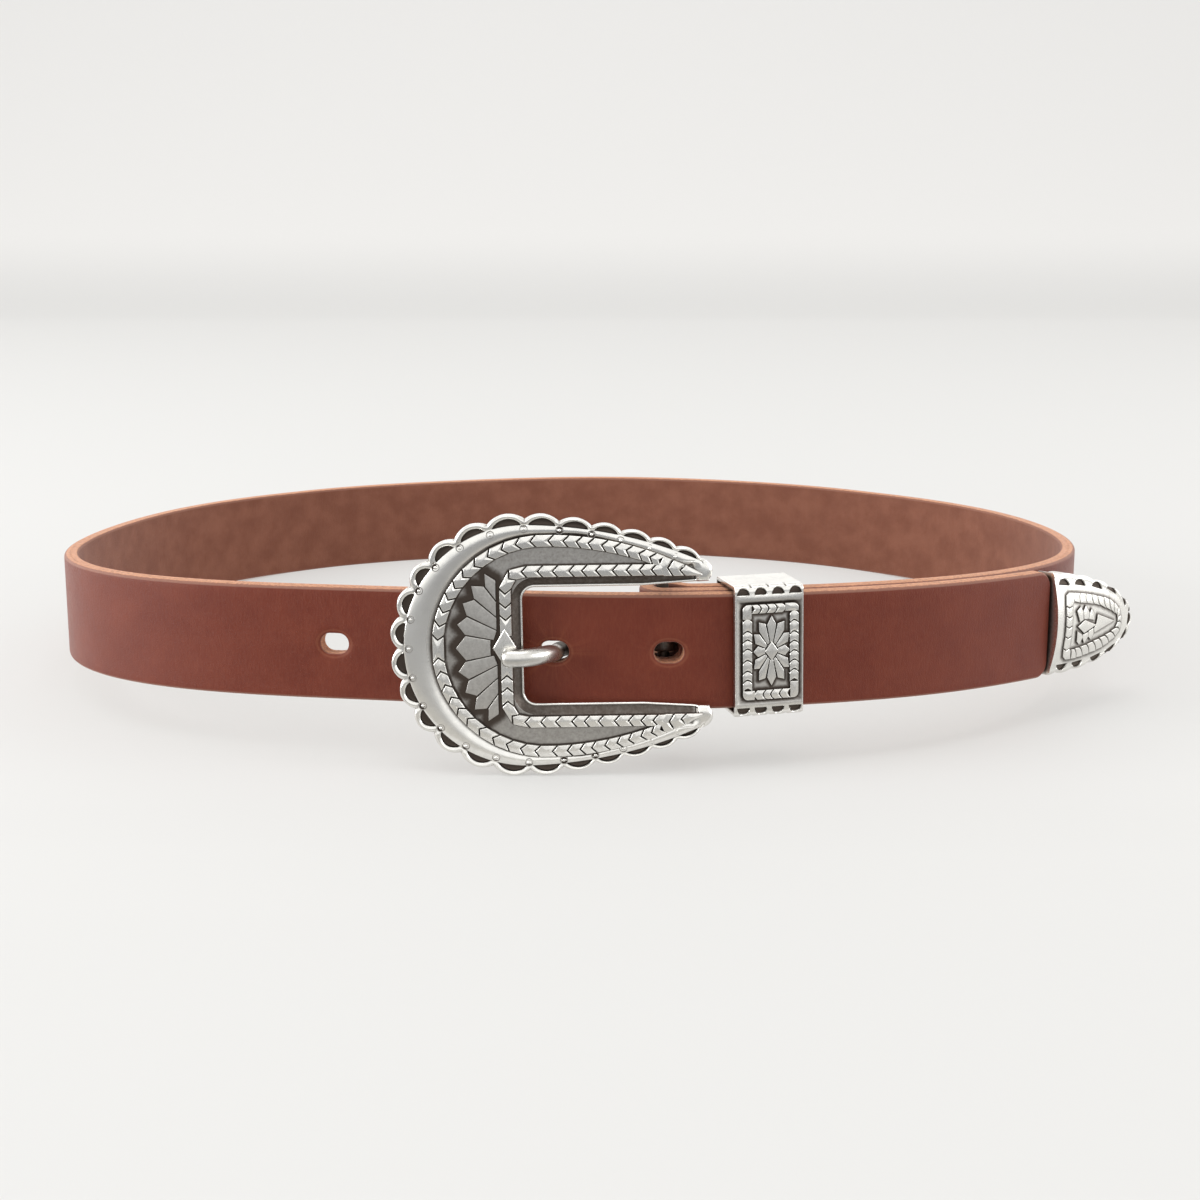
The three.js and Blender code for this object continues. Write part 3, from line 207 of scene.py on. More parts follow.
@dataclass(frozen=True)
class Chain:
    """A line of arcs and straight runs, each tangent to the one before, that sets out upwards and turns right.

    Attributes:
        start: Where it begins.
        arcs: (radius, degrees) of each arc, or (0, run) for a straight stretch; the last goes on without end.
    """

    start: Pair
    arcs: tuple[Pair, ...]

    def at(self, length: Array | float, offset: Array | float = 0.0) -> Array:
        """Points of the line at lengths along it, moved to its left by an offset.

        On an arc a point is its centre plus the radius turned by length / radius.

        Args:
            length: Lengths from the start.
            offset: Distance to the left of the line.

        Returns:
            Points (n, 2).
        """
        length = np.atleast_1d(np.asarray(length, float))
        offset = np.broadcast_to(np.asarray(offset, float), length.shape)
        points = np.zeros((length.size, 2))
        here, angle, done = np.array(self.start), math.pi / 2, 0.0
        for k, (radius, amount) in enumerate(self.arcs):
            run = radius * math.radians(amount) if radius else amount
            last = k == len(self.arcs) - 1
            on = (length >= done - 1e-9) & ((length < done + run) | last)
            past = length[on] - done
            if radius:
                centre = here + radius * np.array([math.sin(angle), -math.cos(angle)])
                points[on] = centre + (radius + offset[on])[:, None] * left_of(around(angle - past / radius))
                angle -= run / radius
                here = centre + radius * left_of(around(angle))
            else:
                heading = around(angle)
                points[on] = here + past[:, None] * heading + offset[on][:, None] * left_of(heading)
                here = here + run * heading
            done += run
        return points


# Meshes


@dataclass
class Shell:
    """Vertices and faces of one surface, with the numbers that its finish reads at each vertex.

    Attributes:
        points: Vertices (n, 3) in millimetres.
        quads: Faces with four corners (m, 4).
        tris: Faces with three corners (k, 3).
        values: One number for each vertex, by name.
        uv: Where each vertex lies on the finish's flat pattern (n, 2), in millimetres.
    """

    points: Array
    quads: Array
    tris: Array = field(default_factory=lambda: np.zeros((0, 3), int))
    values: dict[str, Array] = field(default_factory=dict)
    uv: Array | None = None

    @staticmethod
    def grid(points: Array, cavity: Any, close_rows: bool = False) -> "Shell":
        """A surface over a grid of points whose columns close up.

        Args:
            points: Points (rows, columns, 3).
            cavity: Values of patina and painted shade that broadcast to the grid.
            close_rows: Whether the last row joins the first.

        Returns:
            The shell.
        """
        values = {"cavity": np.broadcast_to(np.asarray(cavity, float), points.shape[:2]).ravel()}
        return Shell(points.reshape(-1, 3), grid_quads(*points.shape[:2], close_rows, True), values=values)

    @staticmethod
    def joined(shells: Sequence["Shell"]) -> "Shell":
        """One shell out of several, each keeping its own vertices."""
        starts = np.cumsum([0] + [len(s.points) for s in shells])
        names = {name for s in shells for name in s.values}
        return Shell(
            np.concatenate([s.points for s in shells]),
            np.concatenate([s.quads + start for s, start in zip(shells, starts)]),
            np.concatenate([s.tris + start for s, start in zip(shells, starts)]),
            {n: np.concatenate([s.values.get(n, np.zeros(len(s.points))) for s in shells]) for n in names},
            np.concatenate([s.uv if s.uv is not None else s.points[:, :2] for s in shells]),
        )

    def placed(self, place: Place) -> "Shell":
        """The shell in the row frame."""
        flat = self.uv if self.uv is not None else self.points[:, :2]
        return Shell(place.world(self.points), self.quads, self.tris, self.values, flat)

    def object(self, name: str, material: Material, sharp: float = 42.0) -> Object:
        """The shell as an object at the origin, with faces pointing out.

        Args:
            name: The object's name.
            material: Its finish.
            sharp: Edges that bend more than this many degrees stay sharp.

        Returns:
            The linked object.
        """
        mesh = bpy.data.meshes.new(name)
        mesh.from_pydata(self.points.tolist(), [], self.quads.tolist() + self.tris.tolist())
        for value_name, numbers in self.values.items():
            layer = mesh.attributes.new(value_name, "FLOAT", "POINT")
            layer.data.foreach_set("value", numbers.astype(np.float32))
        corners = np.zeros(len(mesh.loops), np.int32)
        mesh.loops.foreach_get("vertex_index", corners)
        pattern = mesh.uv_layers.new(name="pattern")
        pattern.data.foreach_set("uv", (self.uv[corners] * MM).astype(np.float32).ravel())
        work = bmesh.new()
        work.from_mesh(mesh)
        bmesh.ops.remove_doubles(work, verts=work.verts, dist=MERGE_DISTANCE)
        bmesh.ops.dissolve_degenerate(work, edges=work.edges, dist=MERGE_DISTANCE / 2)
        bmesh.ops.recalc_face_normals(work, faces=work.faces)
        work.to_mesh(mesh)
        work.free()
        mesh.polygons.foreach_set("use_smooth", np.ones(len(mesh.polygons), bool))
        mesh.set_sharp_from_angle(angle=math.radians(sharp))
        return linked(name, mesh, material)


def linked(name: str, mesh: bpy.types.Mesh, material: Material) -> Object:
    """Gives a mesh its material and an object in the scene."""
    mesh.materials.append(material)
    thing = bpy.data.objects.new(name, mesh)
    bpy.context.scene.collection.objects.link(thing)
    return thing


def grid_quads(rows: int, columns: int, close_rows: bool = False, close_columns: bool = False) -> Array:
    """Faces (m, 4) of a grid numbered row by row; closing joins its last line to its first."""
    r = np.arange(rows if close_rows else rows - 1)[:, None]
    c = np.arange(columns if close_columns else columns - 1)[None, :]
    after_r, after_c = (r + 1) % rows, (c + 1) % columns
    corners = [r * columns + c, r * columns + after_c, after_r * columns + after_c, after_r * columns + c]
    return np.stack([k.ravel() for k in corners], axis=1)


def strip(first: Array, second: Array) -> Array:
    """Faces between two closed rings of vertex numbers."""
    return np.stack([first, np.roll(first, -1), np.roll(second, -1), second], axis=1)


def fan(ring: Array, centre: int) -> Array:
    """Triangles from each edge of a closed ring of vertex numbers to a centre."""
    return np.stack([ring, np.roll(ring, -1), np.full(len(ring), centre)], axis=1)


def lathe(profile: Sequence[Pair], sides: int, centre: Sequence[float], cavity: Any) -> Shell:
    """A turned body about w: each (radius, w) of the profile goes once round, and its ends close on the axis.

    Args:
        profile: Radius and height of each ring.
        sides: Vertices in a ring.
        centre: Where the axis stands.
        cavity: One value of patina and painted shade, or one in a row of its own for each ring.

    Returns:
        The shell.
    """
    rows = np.array(profile, float)
    flat = rows[:, :1, None] * around(full_turn(sides))
    rings = np.concatenate([flat, np.repeat(rows[:, 1:, None], sides, axis=1)], axis=2)
    return Shell.grid(rings + np.array(centre), cavity)


def resampled(outline: Array, count: int) -> Array:
    """A closed outline with its corners kept and more points between them, shared out by length.

    Args:
        outline: Corners (k, 2).
        count: Points wanted.

    Returns:
        Points (count, 2).
    """
    following = np.roll(outline, -1, axis=0)
    lengths = np.linalg.norm(following - outline, axis=1)
    shares = np.maximum(np.round(lengths / lengths.sum() * count).astype(int), 1)
    shares[np.argmax(lengths)] += count - shares.sum()
    stretches = zip(outline, following, shares)
    return np.concatenate([blend(a, b, (np.arange(n) / n)[:, None]) for a, b, n in stretches])


def inset_directions(loop: Array, least: float = 0.45) -> Array:
    """The way in from each point of a counter-clockwise loop, long enough to keep its edges parallel.

    It is (n1 + n2) / (1 + n1.n2), from the inward normals of the two edges that meet there.
    """
    after = left_of(unit(np.roll(loop, -1, axis=0) - loop))
    before = np.roll(after, 1, axis=0)
    return (after + before) / np.maximum(1.0 + np.sum(after * before, axis=1), least)[:, None]


@dataclass(frozen=True)
class Relief:
    """How a raised block of the casting rises from its ground.

    Attributes:
        top: Height of its face over the ground.
        edge: Width of its rounded edge.
        crown: How much its middle stands over its edges.
        sink: How far it runs into the ground.
        lean: How much of the edge's width it draws in, and of its height it falls.
        foot_dark: The cavity value where the rounded edge begins.
    """

    top: float
    edge: float = 0.22
    crown: float = 0.08
    sink: float = 0.35
    lean: float = 0.9
    foot_dark: float = 0.35

    def block(self, outline: Array, ground: Callable[[Array], Array] | None = None, count: int = 24) -> Shell:
        """A closed body over an outline.

        Rings go up the wall, over a quarter-round edge, inwards by whole distances, and then by shares to the
        middle, where the height is top + crown * (1 - (1 - share)^2).

        Args:
            outline: The block's corners (k, 2).
            ground: Height of the ground at points (n, 2), or None where it is 0.
            count: Points round the outline.

        Returns:
            The shell, with a cavity value that is 1 at its foot.
        """
        loop = resampled(counter_clockwise(np.asarray(outline, float)), count)
        way_in = inset_directions(loop)
        middle = loop.mean(axis=0)
        quarter = np.array([0.0, 0.3, 0.6, 0.85, 1.0])
        drop = self.edge * (1.0 - np.sqrt(1.0 - (1.0 - quarter) ** 2))
        rows, heights, cavity = [loop, loop], [-self.sink, 0.0], [1.0, 1.0]
        for share, fall in zip(quarter, drop):
            rows.append(loop + way_in * (self.edge * share * self.lean))
            heights.append(self.top - fall * self.lean)
            cavity.append(self.foot_dark * (1.0 - share))
        inner = rows[-1]
        for share in (0.35, 0.7):
            rows.append(blend(inner, middle, share))
            heights.append(self.top + self.crown * (1.0 - (1.0 - share) ** 2))
            cavity.append(0.0)
        flat = np.concatenate([*rows, [middle, middle]])
        raised = np.concatenate([np.repeat(heights, count), [self.top + self.crown, -self.sink]])
        if ground is not None:
            raised = raised + ground(flat)
        levels, turn = len(rows), np.arange(count)
        centre = levels * count
        caps = [fan(centre - count + turn, centre), fan(turn, centre + 1)[:, ::-1]]
        return Shell(
            np.column_stack([flat, raised]),
            grid_quads(levels, count, close_columns=True),
            np.concatenate(caps),
            {"cavity": np.concatenate([np.repeat(cavity, count), [0.0, 1.0]])},
        )


# The strap's plan


@dataclass(frozen=True)
class LoopPlan:
    """The loop as it stands: a near-round plan whose radius is a mean and six waves round the turn."""

    centre: Pair = (-6.5, 100.44)
    mean_radius: float = 122.32
    waves: tuple[Pair, ...] = (
        *((1.06, 1.24), (13.71, -0.41), (-1.02, -1.68)),
        *((-1.45, 0.66), (0.92, -0.53), (-1.39, -0.07)),
    )
    front_rise: float = 13.42
    flat_from_y: float = 185.0
    rise_power: float = 1.3

    def line(self, turn: Array | float) -> Array:
        """Points of the outermost face: centre + (mean + sum of the waves) along each turn in degrees."""
        angle = np.radians(np.atleast_1d(np.asarray(turn, float)))
        radius = self.mean_radius + sum(
            cos * np.cos((k + 1) * angle) + sin * np.sin((k + 1) * angle)
            for k, (cos, sin) in enumerate(self.waves)
        )
        return np.array(self.centre) + radius[:, None] * around(angle)

    def heading(self, turn: Array | float) -> Array:
        """The way along the line, from two points close on either side."""
        turn = np.atleast_1d(np.asarray(turn, float))
        return unit(self.line(turn + 0.01) - self.line(turn - 0.01))

    def edge_height(self, y: Array | float) -> Array:
        """Height of the strap's lower edge: rise * (share of the way to the front) ^ power."""
        share = np.maximum((self.flat_from_y - np.asarray(y, float)) / self.flat_from_y, 0.0)
        return self.front_rise * share**self.rise_power

    def place(self, at: Array, heading: Array, height: float, rise: float) -> Place:
        """Axes on the strap's face: u along its falling edge, v square up to that, w out of it."""
        fall = self.edge_height(at[1] + heading[1]) - self.edge_height(at[1])
        along = unit(np.array([heading[0], heading[1], float(fall)]))
        up = unit(UP - along * float(UP @ along))
        return Place(np.array([at[0], at[1], height]) + UP * rise, np.stack([along, up, np.cross(along, up)]))


@dataclass(frozen=True)
class Run:
    """A stretch of strap: the line of its grain face in plan, its heading, and its lower edge's height."""

    at: Array
    heading: Array
    height: Array


@dataclass
class StrapRoute:
    """The one length of leather: the tail, the fold round the bar, once round the loop, and the billet."""

    plan: LoopPlan
    bar_turn: float = -79.0
    fold_inner: float = 1.8
    fold_steps: int = 26
    tail_level_turn: float = -75.2
    tail_end_turn: float = -64.8
    tail_steps: int = 26
    under_ply_to: float = -35.0
    on_line_from: float = 25.0
    leave_turn: float = -43.8
    end_radius: float = 160.0
    end_run: float = 26.6
    end_steps: int = 70
    end_power: float = 1.8
    fine_from: float = 212.0
    fine_step: float = 0.33
    coarse_step: float = 0.72

    def __post_init__(self) -> None:
        """Lays the runs end to end and measures the length along them."""
        self.fold_outer = self.fold_inner + STRAP_THICKNESS
        self.bar = self.on_line(np.array([self.bar_turn]), PLY + self.fold_outer)
        self.tail_turns = np.linspace(self.tail_end_turn, self.bar_turn + 0.25, self.tail_steps)
        once = np.arange(self.bar_turn + 0.35, self.fine_from, self.coarse_step)
        last = np.arange(self.fine_from, 360.0 + self.leave_turn, self.fine_step)
        self.loop_turns = np.concatenate([once, last])
        runs = [self.tail(self.tail_turns), self.fold(), self.loop(self.loop_turns), self.end()]
        self.at = np.concatenate([r.at for r in runs])
        self.heading = np.concatenate([r.heading for r in runs])
        self.height = np.concatenate([r.height for r in runs])
        self.length = lengths_along(self.at)
        self.loop_start = self.tail_steps + self.fold_steps
        low, high = self.length[[self.tail_steps, self.loop_start - 1]]
        self.fold_middle = float(low + (high - low) * 0.5)

    def on_line(self, turns: Array, inset: Array | float) -> Run:
        """A run inset from the loop's line by a distance."""
        heading, line = self.plan.heading(turns), self.plan.line(turns)
        inset = np.broadcast_to(np.asarray(inset, float), turns.shape)
        return Run(line + left_of(heading) * inset[:, None], heading, self.plan.edge_height(line[:, 1]))

    def tail(self, turns: Array) -> Run:
        """The short tail behind the front, whose grain side faces into the loop."""
        share = ease(turns, self.bar_turn, self.tail_level_turn)
        run = self.on_line(turns, blend(PLY + 2 * self.fold_outer, 2 * PLY + STRAP_THICKNESS, share))
        return Run(run.at, -run.heading, run.height)

    def fold(self) -> Run:
        """Half a turn round the bar: bar + radius * (cos, sin) of the angle."""
        heading = self.bar.heading[0]
        start = math.atan2(heading[1], heading[0]) + math.pi / 2
        outward = around(start + np.linspace(0.0, math.pi, self.fold_steps))
        at = self.bar.at[0] + outward * self.fold_outer
        return Run(at, left_of(outward), np.full(self.fold_steps, self.bar.height[0]))

    def loop(self, turns: Array) -> Run:
        """Once round, first one ply under the line and then on it, and on as the billet."""
        return self.on_line(turns, PLY * (1.0 - ease(turns, self.under_ply_to, self.on_line_from)))

    def end(self) -> Run:
        """The billet's free end, an arc of its own that leaves the loop, with finer steps towards its end."""
        leave = self.on_line(np.array([self.leave_turn]), 0.0)
        start = math.atan2(leave.heading[0, 1], leave.heading[0, 0])
        centre = leave.at[0] + self.end_radius * left_of(leave.heading[0])
        share = 1.0 - (1.0 - np.linspace(1.0 / self.end_steps, 1.0, self.end_steps)) ** self.end_power
        heading = around(start + share * self.end_run / self.end_radius)
        at = centre - left_of(heading) * self.end_radius
        return Run(at, heading, self.plan.edge_height(at[:, 1]))

    def length_at_turn(self, turn: float) -> float:
        """Length along the strap at a turn of its one time round."""
        rows = slice(self.loop_start, self.loop_start + len(self.loop_turns))
        return float(np.interp(turn, self.loop_turns, self.length[rows]))

    def length_on_tail(self, turn: float) -> float:
        """Length along the strap at a turn of its tail."""
        return float(np.interp(-turn, -self.tail_turns, self.length[: len(self.tail_turns)]))

    def point(self, length: Array, rise: Array, depth: Array) -> Array:
        """Points of the leather: the line, in by the depth, and up the leaning strap by the rise.

        Args:
            length: Length along the strap.
            rise: Height over its lower edge.
            depth: Distance under its grain face.

        Returns:
            Points (n, 3).
        """
        heading = unit(between(length, self.length, self.heading))
        flat = between(length, self.length, self.at) + left_of(heading) * depth[..., None]
        height = np.interp(length, self.length, self.height)
        return np.column_stack([flat, height]) + UP * rise[..., None]


# The strap


@dataclass(frozen=True)
class Opening:
    """A hole with round ends through the leather.

    Attributes:
        length: Where its middle lies along the strap.
        half_long: Half its length.
        half_high: Half its height, and the radius of its ends.
        margin: How far the patch of finer leather round it reaches.
        press: How deep its rim is pressed in.
    """

    length: float
    half_long: float
    half_high: float
    margin: float = 2.6
    press: float = 0.22


@dataclass
class Strap:
    """The leather: a bevelled section carried along the route, with its holes punched through.

    Attributes:
        tongue: Half height, depth under the grain face, thickness and run of the tongue inside the tip.
        back_pattern: How far the back's pattern lies from the face's, so that the two differ.
    """

    route: StrapRoute
    bevel: float = 0.8
    back_bevel: float = 0.55
    face_rows: int = 26
    prong_turn: float = 268.1
    hole_pitch: float = 25.0
    hole_half: Pair = (3.3, 2.35)
    holes_each_side: int = 2
    rivet_turn: float = -75.4
    rivet_hole: float = 2.75
    slot_half: Pair = (12.1, 2.9)
    end_corner: float = 3.2
    tongue: Four = (9.3, 0.9, 1.7, 9.0)
    back_pattern: float = 60.0

    def section(self) -> Array:
        """The closed section: grain face up, over the top edge, flesh face down, under the lower edge.

        Corners are quarter rounds, r - r * cos and r - r * sin of a quarter turn.

        Returns:
            Rise, depth, edge value and flesh value of each point (n, 4).
        """
        inset, thick = self.bevel, STRAP_THICKNESS
        rises = np.linspace(inset, STRAP_WIDTH - inset, self.face_rows)
        quarter = np.linspace(0.0, math.pi / 2, 6)[1:-1]
        across = np.linspace(inset, thick - self.back_bevel, 5)
        round_in, round_up = inset * (1.0 - np.cos(quarter)), inset * np.sin(quarter)
        back_in = self.back_bevel * (1.0 - np.cos(quarter))
        worn = np.linspace(0.3, 0.75, len(quarter))
        stretches = (
            (rises, 0.0, 0.0),
            (STRAP_WIDTH - inset + round_up, round_in, worn),
            (STRAP_WIDTH, across, 1.0),
            (STRAP_WIDTH - round_in, thick - back_in[::-1], worn[::-1]),
            (rises[::-1], thick, 0.0),
            (inset - round_up, thick - back_in, worn),
            (0.0, across[::-1], 1.0),
            (inset - round_up[::-1], round_in[::-1], worn[::-1]),
        )
        rows = np.concatenate([np.column_stack(np.broadcast_arrays(*s)) for s in stretches])
        return np.column_stack([rows, self.flesh_value(rows[:, 1])])

    def flesh_value(self, depth: Array) -> Array:
        """How much of the back's finish shows at a depth."""
        return ease(depth, 0.55 * STRAP_THICKNESS, 0.95 * STRAP_THICKNESS)

    def hole_lengths(self) -> list[float]:
        """Length along the strap of each belt hole; the prong's own is the middle one."""
        at_prong = self.route.length_at_turn(self.prong_turn)
        return [at_prong + k * self.hole_pitch for k in range(-self.holes_each_side, self.holes_each_side + 1)]

    def worn_holes(self) -> tuple[Pair, ...]:
        """Where along the strap each belt hole is, and how much the leather round it has been pulled."""
        middle = self.holes_each_side
        return tuple((at, 1.0 if k == middle else 0.25) for k, at in enumerate(self.hole_lengths()))

    def openings(self) -> list[Opening]:
        """Every hole by its place along the strap."""
        route, rivet = self.route, (self.rivet_hole, self.rivet_hole)
        return [
            *(Opening(at, *self.hole_half) for at in self.hole_lengths()),
            Opening(route.length_at_turn(self.rivet_turn), *rivet, margin=1.2, press=0.0),
            Opening(route.length_on_tail(self.rivet_turn), *rivet, margin=1.2, press=0.0),
            Opening(route.fold_middle, *self.slot_half, margin=1.0, press=0.0),
        ]

    def patch(self, opening: Opening, columns: Array, rises: Array) -> tuple[Array, Array]:
        """Finer leather between a hole and the rectangle of the grid that gives way to it.

        A loop runs from the hole's edge to the rectangle by shares of the way; the nearest point of the hole is
        found from its middle line. On the grain side the rim is rounded and pressed in by
        press * exp(-(distance / 0.8)^2), and the wall goes straight through.

        Args:
            opening: The hole.
            columns: Length along the strap of each column of the rectangle.
            rises: Rise of each of its rows on the grain face.

        Returns:
            Length, rise, depth, edge value and flesh value of each loop's points (loops, n, 5), and the
            rectangle's border as (column, row) numbers, counted from its own first column and row.
        """
        wide, high = len(columns) - 1, len(rises) - 1
        there = [(c, 0) for c in range(wide)] + [(wide, r) for r in range(high)]
        back = [(c, high) for c in range(wide, 0, -1)] + [(0, r) for r in range(high, 0, -1)]
        rim = np.array(there + back)
        border = np.column_stack([columns[rim[:, 0]] - opening.length, rises[rim[:, 1]] - STRAP_MIDDLE])
        reach = opening.half_long - opening.half_high
        foot = np.column_stack([np.clip(border[:, 0], -reach, reach), np.zeros(len(rim))])
        edge = foot + unit(border - foot) * opening.half_high
        lines = [blend(edge, border, share) for share in (0.0, 0.035, 0.09, 0.17, 0.28, 0.42, 0.62, 0.82)]
        gaps = [(line, np.linalg.norm(line - edge, axis=1)) for line in lines]
        pressed = [
            (line, opening.press * hill(gap, 0.8) + 0.2 * np.exp(-gap / 0.09), 0.55 * np.exp(-gap / 0.12))
            for line, gap in gaps[::-1]
        ]
        wall = [(edge, STRAP_THICKNESS * share, 1.0) for share in (0.25, 0.5, 0.75)]
        behind = [
            (line, STRAP_THICKNESS - 0.12 * np.exp(-gap / 0.08), np.exp(-gap / 0.12)) for line, gap in gaps
        ]
        middle = np.array([opening.length, STRAP_MIDDLE])
        loops = []
        for line, depth, worn in pressed + wall + behind:
            depth, worn = (np.broadcast_to(k, len(rim)) for k in (depth, worn))
            loops.append(np.column_stack([line + middle, depth, worn, self.flesh_value(depth)]))
        return np.array(loops), rim

    def shell(self) -> Shell:
        """The whole strap as one closed surface, with its pattern laid out flat along it.

        Where a hole goes through, a rectangle of the grid is left out on both faces and the hole's own loops
        are joined to its border. A fan closes each end, and the billet's end has round corners.
        """
        section, lengths = self.section(), self.route.length
        rise, depth = section[:, 0], section[:, 1]
        count, columns = len(section), len(lengths)
        quads = grid_quads(columns, count, close_columns=True)
        column, row = np.divmod(quads[:, 0], count)
        keep = np.ones(len(quads), bool)
        back_top = int(np.flatnonzero(depth >= STRAP_THICKNESS - 1e-9)[0]) + self.face_rows - 1
        parts = [np.column_stack([np.repeat(lengths, count), np.tile(section, (columns, 1))])]
        faces, start = [], columns * count
        for opening in self.openings():
            reach = opening.half_long + opening.margin
            c0, c1 = (int(np.searchsorted(lengths, opening.length + side * reach)) for side in (-1, 1))
            high = opening.half_high + opening.margin * 0.9 + 0.5
            rows = np.flatnonzero(np.abs(rise[: self.face_rows] - STRAP_MIDDLE) <= high)
            r0, r1 = int(rows[0]), int(rows[-1])
            on_face = ((row >= r0) & (row < r1)) | ((row >= back_top - r1) & (row < back_top - r0))
            keep &= ~((column >= c0) & (column < c1) & on_face)
            loops, rim = self.patch(opening, lengths[c0 : c1 + 1], rise[rows])
            levels, turns = loops.shape[:2]
            first, turn = (rim[:, 0] + c0) * count, start + np.arange(turns)
            faces.append(grid_quads(levels, turns, close_columns=True) + start)
            faces.append(strip(first + rim[:, 1] + r0, turn))
            faces.append(strip(turn + (levels - 1) * turns, first + back_top - r0 - rim[:, 1]))
            parts.append(loops.reshape(-1, 5))
            start += levels * turns
        length, up, deep, edge, flesh = np.concatenate(parts).T
        left = np.clip(self.end_corner - (lengths[-1] - length), 0.0, self.end_corner)
        shrink = self.end_corner - np.sqrt(self.end_corner**2 - left**2)
        from_middle = (up - STRAP_MIDDLE) * (1.0 - shrink / STRAP_MIDDLE)
        points = self.route.point(length, STRAP_MIDDLE + from_middle, deep)
        end, turn = (columns - 1) * count, np.arange(count)
        middles = [points[:count].mean(axis=0), points[end : end + count].mean(axis=0)]
        pattern = np.where(deep > STRAP_THICKNESS / 2, self.back_pattern - from_middle, from_middle)
        return Shell(
            np.concatenate([points, middles]),
            np.concatenate([quads[keep], *faces]),
            np.concatenate([fan(turn, len(points)), fan(end + turn, len(points) + 1)[:, [1, 0, 2]]]),
            {"edge": np.append(edge, [1.0, 1.0]), "flesh": np.append(flesh, [0.0, 0.0])},
            np.concatenate([np.column_stack([length, pattern]), np.zeros((2, 2))]),
        )

    def tongue_shell(self) -> Shell:
        """The thinner tongue of the billet's end that runs into the tip, as a box of eight corners."""
        half, skin, thick, run = self.tongue
        at, heading, height = self.route.at[-1], self.route.heading[-1], self.route.height[-1]
        corners = [
            np.array([*(at + heading * along + left_of(heading) * depth), height]) + UP * (STRAP_MIDDLE + rise)
            for along in (-0.5, run)
            for depth in (skin, skin + thick)
            for rise in (-half, half)
        ]
        faces = [(0, 1, 3, 2), (4, 6, 7, 5), (0, 4, 5, 1), (2, 3, 7, 6), (0, 2, 6, 4), (1, 5, 7, 3)]
        return Shell(np.array(corners), np.array(faces), values={"edge": np.ones(8)}, uv=np.zeros((8, 2)))

    def build(self, finish: Material) -> Object:
        """Makes the strap's object."""
        shell = Shell.joined([self.shell(), self.tongue_shell()])
        shell.points = (shell.points + ROW_ORIGIN) * MM
        strap = shell.object("strap_leather", finish, sharp=50.0)
        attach(strap, BODY)
        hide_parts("strap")
        return strap


# The buckle


@dataclass(frozen=True)
class Scallop:
    """One scallop of an edge: its length along the guide line, the cusp after it, and its highest point."""

    pitch: float
    cusp: float
    peak: float


@dataclass(frozen=True)
class Petal:
    """A petal between two rays, in degrees, with a point, and a shoulder on each ray."""

    start: float
    end: float
    tip: float
    tip_radius: float
    near: float
    far: float

    def outline(self, centre: Sequence[float], foot: Callable[[float], float], groove: float) -> Array:
        """Its corners: foot and shoulder on its first ray, its point, shoulder and foot on its last.

        Args:
            centre: Where the rays start.
            foot: Gives the radius of the petal's foot at an angle in degrees.
            groove: Width of the gap to its neighbours.

        Returns:
            Corners (5, 2).
        """
        half = math.degrees(groove / 2 / self.near)
        start, end = self.start + half, self.end - half
        far = max(self.far, foot(end) + 0.02)
        radii = np.array([foot(start), self.near, self.tip_radius, far, foot(end)])
        return np.array(centre) + radii[:, None] * around(np.radians([start, start, self.tip, end, end]))


def rhomb(centre: Sequence[float], wide: float, high: float) -> Array:
    """A rhomb's corners from its half width and half height."""
    return np.array(centre) + np.array([[wide, 0.0], [0.0, high], [-wide, 0.0], [0.0, -high]])


class Section:
    """Lines of points, with their heights and cavity values, that are laid side by side into a surface."""

    def __init__(self) -> None:
        """Starts without lines."""
        self.lines: list[Array] = []

    def add(self, at: Array, w: Array | float, cavity: Array | float) -> None:
        """Adds a line from its plan, height and cavity value."""
        self.lines.append(np.column_stack([at, np.broadcast_to(w, len(at)), np.broadcast_to(cavity, len(at))]))

    def grid(self) -> tuple[Array, Array, Array]:
        """Plan, height and cavity values of the whole, by columns and rows."""
        every = np.stack(self.lines, axis=1)
        return every[..., :2], every[..., 2], every[..., 3]


